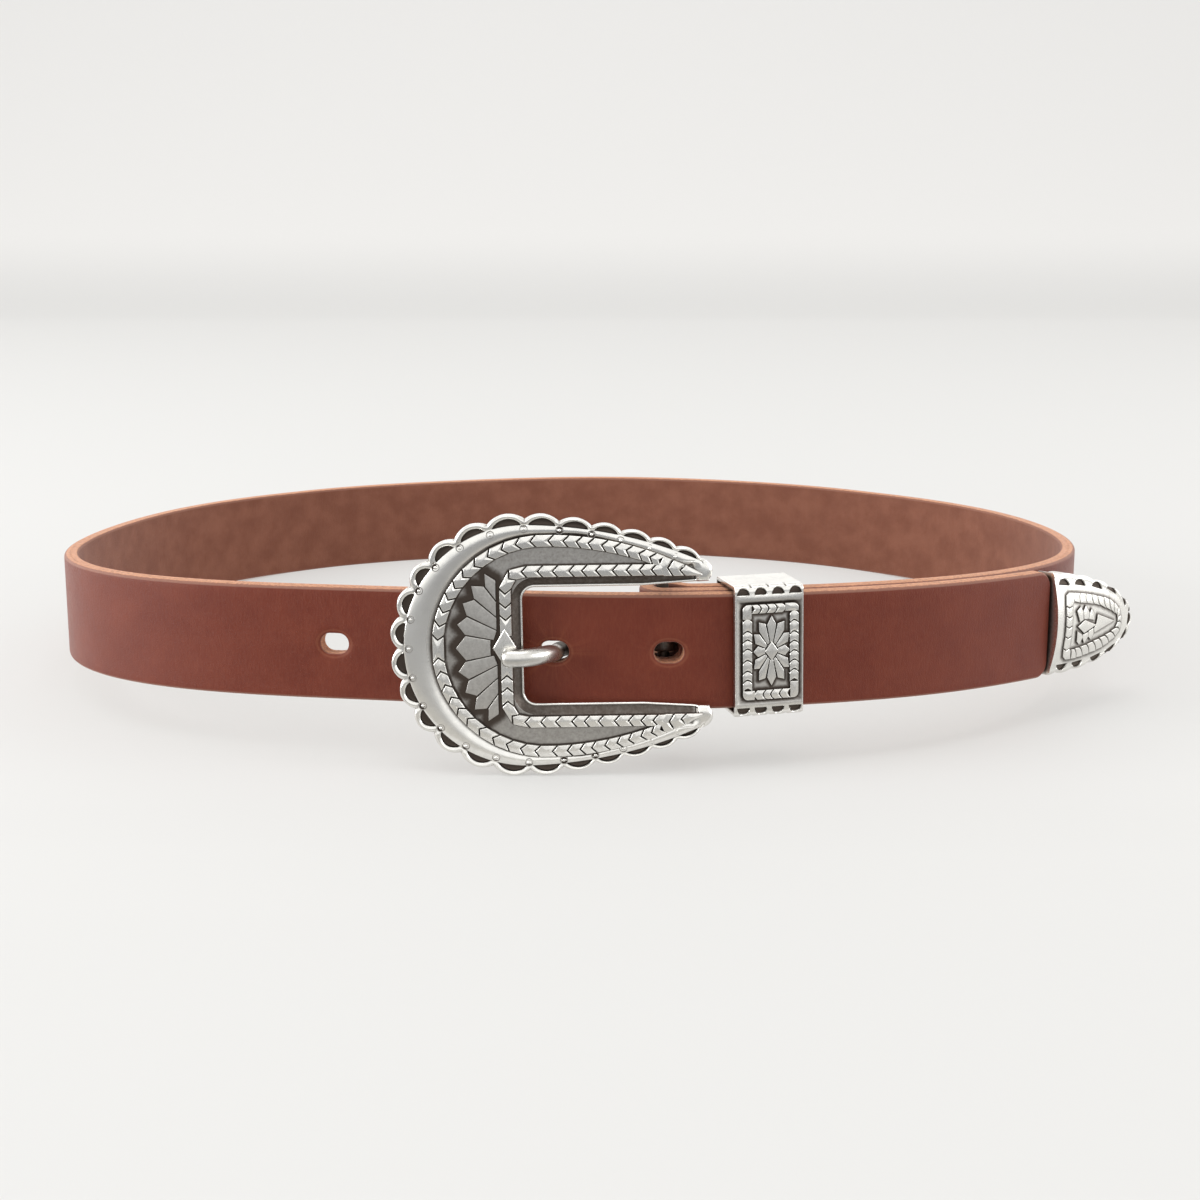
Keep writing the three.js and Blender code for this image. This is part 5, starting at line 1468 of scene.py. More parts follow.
    def rope_blocks(self) -> list[Array]:
        """Blocks of the rope border: each side is cut at its own places by bowed lines."""
        share = np.linspace(0.0, 1.0, 5)
        bulge, half = self.bow * np.sin(math.pi * share), self.bow / 2
        blocks = []
        for cuts, (near, far), bend, shift, upright in (
            (self.rope_left, self.side_bands[:2], bulge, half, True),
            (self.rope_right, self.side_bands[2:], bulge, half, True),
            (self.rope_top, self.end_bands[:2], bulge - half, 0.0, False),
            (self.rope_bottom, self.end_bands[2:], half - bulge, 0.0, False),
        ):
            across = blend(near, far, share)
            for start, end in zip(cuts, cuts[1:]):
                gap = math.copysign(self.groove / 2, end - start)
                lines = [(cut + bend - shift, across) for cut in (start + gap, end - gap)]
                first, second = (np.column_stack(line[::-1] if upright else line) for line in lines)
                blocks.append(np.concatenate([first, second[::-1]]))
        return blocks

    def corner_blocks(self) -> list[Array]:
        """The four blocks where the rope turns, each a box whose outer corner is a quarter round."""
        bend = self.corner_round * (1 - around(np.linspace(0.0, math.pi / 2, 7)))
        blocks = []
        for near, far, start, end in self.corners:
            way, up = math.copysign(1.0, far - near), math.copysign(1.0, end - start)
            inner, foot = far - way * self.groove / 2, start + up * self.groove / 2
            corner = np.array([near, end]) + bend * np.array([way, -up])
            blocks.append(np.concatenate([[[inner, foot], [near, foot]], corner, [[inner, end]]]))
        return blocks

    def flower_blocks(self) -> list[Array]:
        """Outlines of the petals: one quarter mirrored to the others."""

        def foot(angle: float) -> float:
            """Radius of the heart's rhomb at an angle, and a gap."""
            c, s = np.abs(around(math.radians(angle)))
            return float(1.0 / (c / self.heart[0] + s / self.heart[1]) + self.groove)

        blocks = []
        for petal in self.petals:
            images = [petal.outline((0.0, 0.0), foot, self.groove)]
            if petal.start >= 0.0:
                images.append(mirrored(images[0]))
            if petal.tip != 90.0:
                images += [o * np.array([-1.0, 1.0]) for o in images]
            blocks += [o + np.array(self.flower) for o in images]
        return blocks

    def build(self, finish: Material) -> Object:
        """Makes the keeper's object."""
        rope, flower = [*self.rope_blocks(), *self.corner_blocks()], self.flower_blocks()
        heart = rhomb(self.flower, *self.heart)
        raised, petal = Relief(0.16, 0.2, 0.1, sink=0.9), Relief(0.02, 0.16, 0.06, sink=0.9)
        shells = [
            self.band([*rope, *flower, heart]),
            *(raised.block(o) for o in rope),
            *(petal.block(o, count=22) for o in flower),
            Relief(0.2, 0.2, 0.08, sink=0.9).block(heart),
        ]
        keeper = Shell.joined(shells).placed(self.place).object("keeper_silver", finish)
        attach(keeper, BODY)
        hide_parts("keeper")
        return keeper


@dataclass
class Tip:
    """The tip: a domed, pointed cap with scalloped rims, moons, a rope border, a column, a flower and a leaf.

    Attributes:
        sag: How far its middle line falls to its point, as a share of the length.
        shear: How far its mouth leans, as a share of the height.
        cusps: Where along u the scallops meet.
        moons: Place of each half-moon's chord, and the way it opens, in degrees from upwards.
        rope_cuts: Outer and inner end of each cut between the rope's blocks.
        column: Where the column beside the mouth begins and ends in u; column_cuts part its blocks.
        flower: Corners of the petals above, the bud, the petals below, and the leaf.
    """

    place: Place
    length: float = 32.1
    high: float = 12.3
    sag: float = 0.033
    shear: float = 0.045
    power: float = 1.9
    edge_w: float = 0.3
    dome: float = 2.1
    back: float = -4.0
    cusps: tuple[float, ...] = (2.9, 9.4, 15.9, 22.3, 27.4, 31.8)
    scallop: float = 0.6
    moons: tuple[Triple, ...] = (
        *((3.6, 9.35, 4.0), (9.95, 9.1, 7.0), (16.7, 8.25, 12.0), (22.6, 7.2, 22.0), (27.4, 4.9, 55.0)),
        *((30.0, 0.8, 91.0), (28.3, -3.8, 128.0), (23.5, -6.6, 156.0), (18.0, -8.2, 166.0)),
        *((10.7, -9.3, 173.0), (4.5, -9.7, 177.0)),
    )
    moon: HalfMoon = HalfMoon(2.25, 1.6, 0.55)
    rope_cuts: tuple[Four, ...] = (
        *((6.6, 7.6, 6.4, 5.5), (9.0, 7.4, 8.8, 5.1), (11.4, 7.2, 11.5, 4.9), (13.8, 6.9, 14.4, 4.6)),
        *((16.2, 6.5, 17.0, 4.2), (18.7, 6.1, 19.7, 3.4), (21.2, 5.5, 22.0, 2.7), (23.3, 4.5, 23.6, 2.0)),
        *((25.3, 3.2, 24.6, 1.6), (26.3, 1.3, 25.0, 0.6), (26.7, -0.6, 25.1, -0.3), (26.3, -2.3, 24.3, -1.7)),
        *((24.6, -4.0, 22.3, -2.6), (22.2, -5.2, 19.9, -3.4), (19.8, -6.2, 17.5, -4.0), (17.1, -7.0, 15.0, -4.6)),
        *((14.3, -7.5, 12.5, -5.2), (11.7, -8.0, 9.7, -5.7), (9.2, -8.4, 7.7, -6.0), (6.9, -8.6, 6.2, -6.2)),
    )
    rope_bow: float = 0.3
    column: Pair = (3.1, 5.45)
    column_cuts: tuple[float, ...] = (4.5, 2.15, -0.3, -2.8, -5.75)
    column_notch: float = 0.45
    flower: tuple[tuple[Pair, ...], ...] = (
        ((7.4, 3.1), (8.8, 4.1), (9.7, 2.8), (9.8, 1.0), (8.6, 0.6)),
        ((10.0, 3.0), (10.9, 4.3), (12.3, 2.6), (11.9, 1.2), (10.2, 1.2)),
        ((12.6, 2.2), (13.3, 3.4), (14.2, 2.4), (14.4, 0.8), (12.3, 1.1)),
        ((7.9, -0.6), (10.6, 0.8), (15.4, -0.5), (10.6, -2.2)),
        ((7.8, -1.8), (9.8, -2.7), (10.1, -3.3), (9.1, -4.9), (8.1, -4.2)),
        ((10.2, -2.7), (12.2, -2.2), (12.4, -3.2), (11.2, -4.7), (10.4, -3.6)),
        ((12.5, -2.0), (14.3, -1.3), (14.6, -2.5), (13.8, -4.0), (12.7, -3.2)),
        ((15.7, -0.1), (16.1, 1.9), (23.2, 0.1), (15.1, -2.3), (14.7, -1.4)),
    )
    flower_grown: float = 0.1
    groove: float = 0.26
    steps: int = 401
    pocket_half: float = 10.6
    pocket_deep: float = 9.35
    pocket_w: Pair = (-2.95, -0.55)

    def line(self, inset: float = 0.0) -> tuple[Array, Array]:
        """The plain outline from its upper mouth corner over the point to the lower one, drawn in by an inset.

        Half its height is high * sqrt(1 - (u / length)^power).

        Returns:
            Fine points, and the share of the way along the line to each.
        """
        fine = np.linspace(0.0, 1.0, 1401)
        share = np.sin(fine * math.pi)
        half = (self.high - inset) * np.sqrt(np.clip(1.0 - share**self.power, 0.0, 1.0))
        points = np.column_stack([(self.length - inset) * share, np.where(fine < 0.5, half, -half)])
        length = lengths_along(points)
        return points, length / length[-1]

    def scalloped(self, share: Array) -> Array:
        """The edge: between cusps it comes out by scallop * sin(pi * part)^0.7."""
        (plain, along), (drawn_in, along_in) = self.line(), self.line(1.0)
        half = len(plain) // 2 + 1
        upper = np.interp(self.cusps, plain[:half, 0], along[:half])
        marks = np.array([-0.04, *upper, *(1.0 - upper[::-1]), 1.04])
        part = np.interp(share, marks, np.arange(len(marks))) % 1.0
        inset = self.scallop * (1.0 - np.sin(math.pi * part) ** 0.7)
        return blend(between(share, along, plain), between(share, along_in, drawn_in), inset[:, None])

    def ground(self, flat: Array) -> Array:
        """Height of the dome: edge + dome * (1 - (v / high)^2) * (1 - 0.35 (u / length)^2)."""
        u, v = flat.T
        across = np.clip(1.0 - (v / self.high) ** 2, 0.0, 1.0)
        return self.edge_w + self.dome * across * (1.0 - 0.35 * (u / self.length) ** 2)

    def rope(self) -> list[Array]:
        """Blocks of the rope, each between two cuts given by their outer and inner ends, bowed a little."""
        share, gap = np.linspace(0.0, 1.0, 5)[:, None], self.groove / 2
        cuts = []
        for cut in self.rope_cuts:
            outer, inner = np.array(cut[:2]), np.array(cut[2:])
            away = left_of(unit(outer - inner))
            cuts.append((blend(outer, inner, share) + away * self.rope_bow * np.sin(math.pi * share), away * gap))
        pairs = zip(cuts, cuts[1:])
        return [np.concatenate([first - way, (second + way)[::-1]]) for (first, way), (second, _) in pairs]

    def column_blocks(self) -> list[Array]:
        """The column of blocks beside the mouth, each with a point downwards, and the two corner blocks."""
        near, far = self.column
        middle, gap, notch = (near + far) / 2, self.groove / 2, self.column_notch
        blocks = []
        for high, low in zip(self.column_cuts, self.column_cuts[1:]):
            upper = [[near, high - gap], [middle, high - gap - notch], [far, high - gap]]
            blocks.append(np.array(upper + [[far, low + gap], [middle, low + gap - notch], [near, low + gap]]))
        for start, cut, end in (
            (self.column_cuts[0] + gap, self.rope_cuts[0], [[far - 0.9, 7.7], [near + 0.3, 7.0]]),
            (self.column_cuts[-1] - gap, self.rope_cuts[-1], [[far - 0.6, -8.6], [near + 0.5, -7.8]]),
        ):
            foot = [[near, start], [middle, start - notch], [far, start]]
            blocks.append(np.array([*foot, [cut[2] - gap, cut[3]], [cut[0] - gap, cut[1]], *end]))
        return blocks

    def relief(self, flat: Array, rim: Array, walls: Sequence[Array]) -> tuple[Array, Array]:
        """What is added to the dome at points of it, and how dark they are.

        Args:
            flat: Points (n, 2).
            rim: Their distance from the edge.
            walls: Outlines of the blocks.

        Returns:
            Heights and cavity values.
        """
        height = 0.16 * (hill(rim - 0.7, 0.5) - ease(0.5 - rim, 0.0, 0.5))
        distance = distance_to(flat, walls)
        # The narrow falloff at the blocks' feet is patina; the wider 0.66 falloff is partly patina, partly
        # painted shade.
        dark = np.maximum(0.9 * np.exp(-distance / 0.26), 0.66 * hill(distance, 1.0))
        for u, v, turn in self.moons:
            over = around(math.radians(90.0 - turn))
            offset = flat - np.array([u, v])
            hollow, inside = self.moon.cut(offset @ left_of(over), offset @ over)
            height, dark = height - hollow, np.maximum(dark, inside)
        return height, dark

    def cap(self, walls: Sequence[Array]) -> Shell:
        """The cap: rings from its middle line over the rim and under, and the mouth with its pocket, which is set
        dark as painted shade.
        """
        outer = self.scalloped(np.linspace(0.0, 1.0, self.steps))
        spine = np.column_stack([np.clip(outer[:, 0], 0.0, self.length - 7.0), np.zeros(self.steps)])
        shares = np.concatenate([np.linspace(0.0, 0.6, 40), np.linspace(0.61, 0.97, 66), [0.98, 0.99, 1.0]])
        flat = np.concatenate([blend(spine, outer, x) for x in shares])
        rim = np.linalg.norm(flat - np.tile(outer, (len(shares), 1)), axis=1)
        height, dark = self.relief(flat, rim, walls)
        under = [(1.0, -0.2), (1.0, -1.4), (1.0, -2.6), (1.0, self.back + 0.25)]
        under += [(x, self.back) for x in (0.98, 0.75, 0.4, 0.0)]
        rows = [np.column_stack([blend(spine, outer, x), np.full(self.steps, w)]) for x, w in under]
        points = np.concatenate([np.column_stack([flat, self.ground(flat) + height]), *rows])
        levels = len(shares) + len(under)
        numbers = np.arange(len(points)).reshape(levels, self.steps)
        loop = np.concatenate([numbers[:, -1], numbers[::-1, 0]])
        low, top = self.pocket_w
        inner = np.clip(points[loop], (0.0, -self.pocket_half, low), (0.0, self.pocket_half, top))
        deep = np.array([self.pocket_deep, 0.0, 0.0])
        plain = np.full(len(points) - len(dark), 0.3)
        ring = len(points) + np.arange(len(loop))
        bottom, centre = ring + len(loop), len(points) + 2 * len(loop)
        return Shell(
            np.concatenate([points, inner, inner + deep, [deep + np.array([0.0, 0.0, (low + top) / 2])]]),
            np.concatenate([grid_quads(levels, self.steps), strip(ring, loop), strip(bottom, ring)]),
            fan(bottom, centre)[:, [1, 0, 2]],
            # The pocket inside the mouth is set fully dark: painted shade.
            {"cavity": np.concatenate([dark, plain, np.ones(2 * len(loop) + 1)])},
        )

    def build(self, finish: Material) -> Object:
        """Makes the tip's object."""
        border = [*self.rope(), *self.column_blocks()]
        flower = [o + unit(o - o.mean(axis=0)) * self.flower_grown for o in map(np.array, self.flower)]
        shells = [
            self.cap([*border, *flower]),
            *(Relief(0.4, 0.2, 0.05).block(o, self.ground) for o in border),
            *(Relief(0.42, 0.1, 0.05).block(o, self.ground, count=28) for o in flower),
        ]
        whole = Shell.joined(shells)
        u, v = whole.points[:, :2].T.copy()
        whole.points[:, 0] -= self.shear * v * (1.0 - u / self.length)
        whole.points[:, 1] -= self.sag * u
        tip = whole.placed(self.place).object("tip_silver", finish)
        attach(tip, BODY)
        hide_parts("tip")
        return tip


@dataclass
class TailRivet:
    """The rivet that holds the tail to the main ply: two low heads and a post."""

    place: Place
    head_radius: float = 2.5
    head_high: float = 0.8
    post_radius: float = 1.3
    deep: float = 7.3

    def build(self, finish: Material) -> Object:
        """Makes the rivet's object: one half's profile of (radius, depth), mirrored to the other half."""
        r, p, h = self.head_radius, self.post_radius, self.head_high
        half = [(0.0, 0.02), (r * 0.6, 0.04), (r * 0.88, 0.1), (r * 0.98, 0.22), (r, 0.45), (r * 0.97, h)]
        half.append((p, h))
        other = [(x, w - self.deep) for x, w in half[::-1]]
        profile = [*((x, -w) for x, w in half), (p, -self.deep / 2), *other]
        shell = lathe(profile, 36, (0.0, 0.0, 0.0), 0.3)
        rivet = shell.placed(self.place).object("rivet_silver", finish)
        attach(rivet, BODY)
        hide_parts("tail_rivet")
        return rivet


# Finishes


class Op(Enum):
    """Blender's names of the operations that wires use."""

    ADD = "ADD"
    SUBTRACT = "SUBTRACT"
    MULTIPLY = "MULTIPLY"
    DIVIDE = "DIVIDE"
    POWER = "POWER"
    ABSOLUTE = "ABSOLUTE"
    MAXIMUM = "MAXIMUM"
    LENGTH = "LENGTH"
    NORMALIZE = "NORMALIZE"


Colour = Triple


class Wire:
    """A number, colour or vector on its way between nodes; Python's operators add math nodes."""

    def __init__(self, graph: "Graph", socket: bpy.types.NodeSocket) -> None:
        """Wraps an output socket of a graph's node."""
        self.graph = graph
        self.socket = socket

    def math(self, operation: Op, *others: "Wire | float", first: "Wire | float | None" = None) -> "Wire":
        """A math node on this wire.

        Args:
            operation: The operation.
            *others: The other operands.
            first: An operand that goes before this wire.

        Returns:
            The result.
        """
        operands = [self, *others] if first is None else [first, self, *others]
        return self.graph.out("ShaderNodeMath", {"operation": operation.value}, dict(enumerate(operands)))

    def vector(self, operation: Op, *others: "Wire | Colour", output: Any = 0) -> "Wire":
        """A vector math node on this wire."""
        sockets = dict(enumerate([self, *others]))
        return self.graph.out("ShaderNodeVectorMath", {"operation": operation.value}, sockets, output)

    def __add__(self, other: "Wire | float") -> "Wire":
        return self.math(Op.ADD, other)

    def __radd__(self, other: float) -> "Wire":
        return self.math(Op.ADD, first=other)

    def __sub__(self, other: "Wire | float") -> "Wire":
        return self.math(Op.SUBTRACT, other)

    def __rsub__(self, other: float) -> "Wire":
        return self.math(Op.SUBTRACT, first=other)

    def __mul__(self, other: "Wire | float") -> "Wire":
        return self.math(Op.MULTIPLY, other)

    def __rmul__(self, other: float) -> "Wire":
        return self.math(Op.MULTIPLY, first=other)

    def __truediv__(self, other: "Wire | float") -> "Wire":
        return self.math(Op.DIVIDE, other)

    def __rtruediv__(self, other: float) -> "Wire":
        return self.math(Op.DIVIDE, first=other)

    def __pow__(self, other: "Wire | float") -> "Wire":
        return self.math(Op.POWER, other)

    def __rpow__(self, other: float) -> "Wire":
        return self.math(Op.POWER, first=other)

    def __neg__(self) -> "Wire":
        return self.math(Op.MULTIPLY, -1.0)

    def __abs__(self) -> "Wire":
        return self.math(Op.ABSOLUTE)

    def either(self, other: "Wire | float") -> "Wire":
        """The larger of two numbers."""
        return self.math(Op.MAXIMUM, other)

    def eased(self, low: float, high: float) -> "Wire":
        """Goes smoothly from 0 to 1 between two values, which may also fall."""
        start, end, first, last = (low, high, 0.0, 1.0) if low < high else (high, low, 1.0, 0.0)
        sockets = {"Value": self, "From Min": start, "From Max": end, "To Min": first, "To Max": last}
        return self.graph.out("ShaderNodeMapRange", {"interpolation_type": "SMOOTHSTEP"}, sockets)

    def part(self, axis: str) -> "Wire":
        """One component of a vector."""
        return self.graph.out("ShaderNodeSeparateXYZ", {}, {"Vector": self}, axis)

    def times(self, *factors: float) -> "Wire":
        """A vector with each component multiplied."""
        return self.vector(Op.MULTIPLY, factors)


class Graph:
    """The nodes of a material or of the world."""

    def __init__(self, owner: Material | bpy.types.World) -> None:
        """Empties an owner's node tree and takes it over."""
        owner.use_nodes = True
        self.owner = owner
        self.tree = owner.node_tree
        self.tree.nodes.clear()

    def node(self, kind: str, settings: dict[str, Any], sockets: dict[Any, Any]) -> bpy.types.Node:
        """Adds any node.

        Args:
            kind: Its type.
            settings: Its properties.
            sockets: Its inputs by name or number: wires are linked, and the rest are set.

        Returns:
            The node.
        """
        node = self.tree.nodes.new(kind)
        for name, value in settings.items():
            setattr(node, name, value)
        for name, value in sockets.items():
            if isinstance(value, Wire):
                self.tree.links.new(value.socket, node.inputs[name])
            elif isinstance(value, tuple) and node.inputs[name].type == "RGBA":
                node.inputs[name].default_value = (*value, 1.0)
            else:
                node.inputs[name].default_value = value
        return node

    def out(self, kind: str, settings: dict[str, Any], sockets: dict[Any, Any], output: Any = 0) -> Wire:
        """Adds any node and returns one of its outputs."""
        return Wire(self, self.node(kind, settings, sockets).outputs[output])

    def finish(self, kind: str, sockets: dict[str, Any], end: str = "ShaderNodeOutputMaterial") -> Any:
        """Adds the shader, links it to the graph's end, and returns the owner."""
        shader, output = self.node(kind, {}, sockets), self.node(end, {}, {})
        self.tree.links.new(shader.outputs[0], output.inputs[0])
        return self.owner

    def place(self) -> Wire:
        """Object coordinates, in metres."""
        return self.out("ShaderNodeTexCoord", {}, {}, "Object")

    def attribute(self, name: str) -> Wire:
        """A number kept at the piece's vertices."""
        return self.out("ShaderNodeAttribute", {"attribute_name": name}, {}, "Fac")

    def noise(self, at: Wire, scale: float, detail: float = 3.0, rough: float = 0.55) -> Wire:
        """Soft noise round 0.5 at places in millimetres; the scale counts waves to a millimetre."""
        sockets = {"Vector": at, "Scale": scale, "Detail": detail, "Roughness": rough}
        return self.out("ShaderNodeTexNoise", {"noise_dimensions": "3D"}, sockets)

    def borders(self, at: Wire, scale: float) -> Wire:
        """Distance to the nearest border between the cells of scattered points."""
        settings = {"feature": "DISTANCE_TO_EDGE", "voronoi_dimensions": "3D"}
        return self.out("ShaderNodeTexVoronoi", settings, {"Vector": at, "Scale": scale}, "Distance")

    def mix(self, share: Wire | float, low: Wire | Colour, high: Wire | Colour) -> Wire:
        """A colour between two."""
        settings = {"data_type": "RGBA", "blend_type": "MIX", "clamp_factor": True}
        return self.out("ShaderNodeMix", settings, {0: share, 6: low, 7: high}, 2)

    def bump(self, height: Wire, distance: float, strength: float = 1.0) -> Wire:
        """A normal bent by a height in millimetres."""
        sockets = {"Height": height, "Distance": distance * MM, "Strength": strength}
        return self.out("ShaderNodeBump", {}, sockets, "Normal")


@dataclass(frozen=True)
class SilverFinish:
    """Antiqued silver: satin and softly clouded on top, brown-black with patina where polish never reaches, and
    painted shade on parts set darker for the shade they sit in.

    Attributes:
        bright: Colour of the worn metal.
        dull: Colour of the clouded metal.
        patina_and_shade_colour: Colour of the patina in the hollows, and of the painted shade.
        rough: Roughness of the worn metal and of the patina and painted shade.
    """

    bright: Colour = (0.84, 0.825, 0.785)
    dull: Colour = (0.77, 0.758, 0.725)
    patina_and_shade_colour: Colour = (0.075, 0.06, 0.05)
    rough: Pair = (0.24, 0.5)

    def material(self) -> Material:
        """Builds the material from Object coordinates and the cavity value, which mixes patina and painted shade.
        """
        g = Graph(bpy.data.materials.new("silver_antiqued"))
        at = g.place().times(1000.0, 1000.0, 1000.0)
        cavity = g.attribute("cavity")
        clouds = g.noise(at, 0.32, 3.0, 0.5)
        specks = g.noise(at, 2.2, 3.0, 0.6)
        blots = g.noise(at, 1.1, 3.0, 0.6)
        # Darkening from patina in the hollows and from painted shade on shadowed parts, broken up by noise.
        uneven_patina_and_shade = cavity + (specks - 0.5) * 0.07 + (blots - 0.5) * 0.16
        dark = uneven_patina_and_shade.eased(0.1, 0.8) * cavity.eased(0.02, 0.2)
        marks = specks.eased(0.62, 0.78) * 0.12 + blots.eased(0.6, 0.8) * 0.08
        metal = g.mix(clouds.eased(0.35, 0.7), self.bright, self.dull)
        worn, stained = self.rough
        rough = worn + (clouds - 0.5) * 0.1 + (specks - 0.5) * 0.06 + dark * (stained - worn)
        height = specks * 0.12 + clouds * 0.7 + dark * specks * 0.3
        sockets = {
            "Base Color": g.mix(dark.either(marks), metal, self.patina_and_shade_colour),
            "Metallic": 1.0,
            "Roughness": rough,
            "Normal": g.bump(height, 0.04, 0.5),
        }
        return g.finish("ShaderNodeBsdfPrincipled", sockets)


@dataclass(frozen=True)
class LeatherFinish:
    """Brown dyed leather with a fine grain across the strap, raw tan edges, and a napped back.

    Attributes:
        holes: Where along the strap each belt hole is, and how much the leather round it has been pulled.
        face: Colours of the grain face, plain, light, dark, and in the creases.
        hole_rays: Colours of the pulled leather and of the pressed rim round a hole.
        flesh: Colours of the back.
        raw: Colours of the cut edge, dark and light.
        bevel: Colour of the worn bevel.
    """

    holes: tuple[Pair, ...] = ()
    face: tuple[Colour, ...] = (
        *((0.125, 0.0165, 0.0055), (0.175, 0.031, 0.012), (0.05, 0.01, 0.006), (0.36, 0.12, 0.055)),
    )
    hole_rays: tuple[Colour, Colour] = ((0.42, 0.13, 0.05), (0.45, 0.17, 0.08))
    flesh: tuple[Colour, Colour] = ((0.175, 0.058, 0.032), (0.23, 0.086, 0.05))
    raw: tuple[Colour, Colour] = ((0.33, 0.14, 0.075), (0.6, 0.28, 0.15))
    bevel: Colour = (0.25, 0.11, 0.075)

    def material(self) -> Material:
        """Builds the material from the strap's flat pattern and its edge and flesh values."""
        g = Graph(bpy.data.materials.new("leather_brown"))
        flat = g.out("ShaderNodeUVMap", {"uv_map": "pattern"}, {}, "UV").times(1000.0, 1000.0, 0.0)
        at = g.place().times(1000.0, 1000.0, 1000.0)
        edge, flesh = g.attribute("edge"), g.attribute("flesh")
        warp = g.noise(flat, 0.3, 2.0)
        grain = g.noise(flat.times(1.0, 0.22, 1.0), 2.2, 4.0, 0.6)
        creases = abs(g.noise(flat.times(1.0, 0.16, 1.0), 1.1, 3.0, 0.6) - 0.5).eased(0.045, 0.0)
        pebbles = g.borders(flat.times(1.0, 0.7, 1.0), 2.6)
        clouds = g.noise(flat, 0.09, 4.0, 0.6)
        specks = g.noise(flat, 3.4, 2.0, 0.5).eased(0.69, 0.76)
        tone = clouds * 0.6 + grain * 0.3 + warp * 0.1
        plain, light, dark, crease = self.face
        face = g.mix(tone.eased(0.22, 0.78), plain, light)
        face = g.mix(creases * 0.05, face, crease)
        face = g.mix(specks * 0.5, face, dark)
        for hole, strength in self.holes:
            offset = flat.vector(Op.ADD, (-hole, 0.0, 0.0))
            away = offset.times(1.0, 1.3, 1.0).vector(Op.LENGTH, output="Value")
            rays = g.noise(offset.vector(Op.NORMALIZE).times(3.6, 3.6, 0.0), 1.0, 4.0, 0.65)
            pulled = rays.eased(0.48, 0.66) * away.eased(12.0, 3.0) * strength
            face = g.mix(pulled * 0.17, face, self.hole_rays[0])
            rim = away.eased(4.5, 4.1) * away.eased(3.6, 3.95)
            face = g.mix(rim * 0.13, face, self.hole_rays[1])
        nap = g.noise(flat, 3.2, 4.0, 0.7)
        soft = g.noise(flat, 0.14, 4.0, 0.55)
        back = g.mix((nap * 0.3 + soft * 0.7).eased(0.34, 0.68), *self.flesh)
        fibres = g.noise(at.times(0.8, 0.8, 3.0), 1.6, 4.0, 0.6)
        raw = g.mix(fibres.eased(0.22, 0.62), *self.raw)
        worn = g.mix(edge.eased(0.12, 0.45), g.mix(flesh, face, back), self.bevel)
        height = grain * 0.5 + pebbles.eased(0.0, 0.14) * 0.28 - creases * 0.2
        height = height + nap * flesh * 0.7 + fibres * edge * 1.4
        sockets = {
            "Base Color": g.mix((edge + (fibres - 0.5) * 0.5).eased(0.62, 0.88), worn, raw),
            "Roughness": 0.44 + (grain - 0.5) * 0.25 + creases * 0.1 + flesh * 0.3 + edge * 0.3,
            "IOR": 1.45,
            "Specular IOR Level": 0.32,
            "Sheen Weight": 0.22,
            "Sheen Roughness": 0.35,
            "Sheen Tint": (1.0, 0.82, 0.78),
            "Normal": g.bump(height, 0.07, 0.8),
        }
        return g.finish("ShaderNodeBsdfPrincipled", sockets)


# The studio


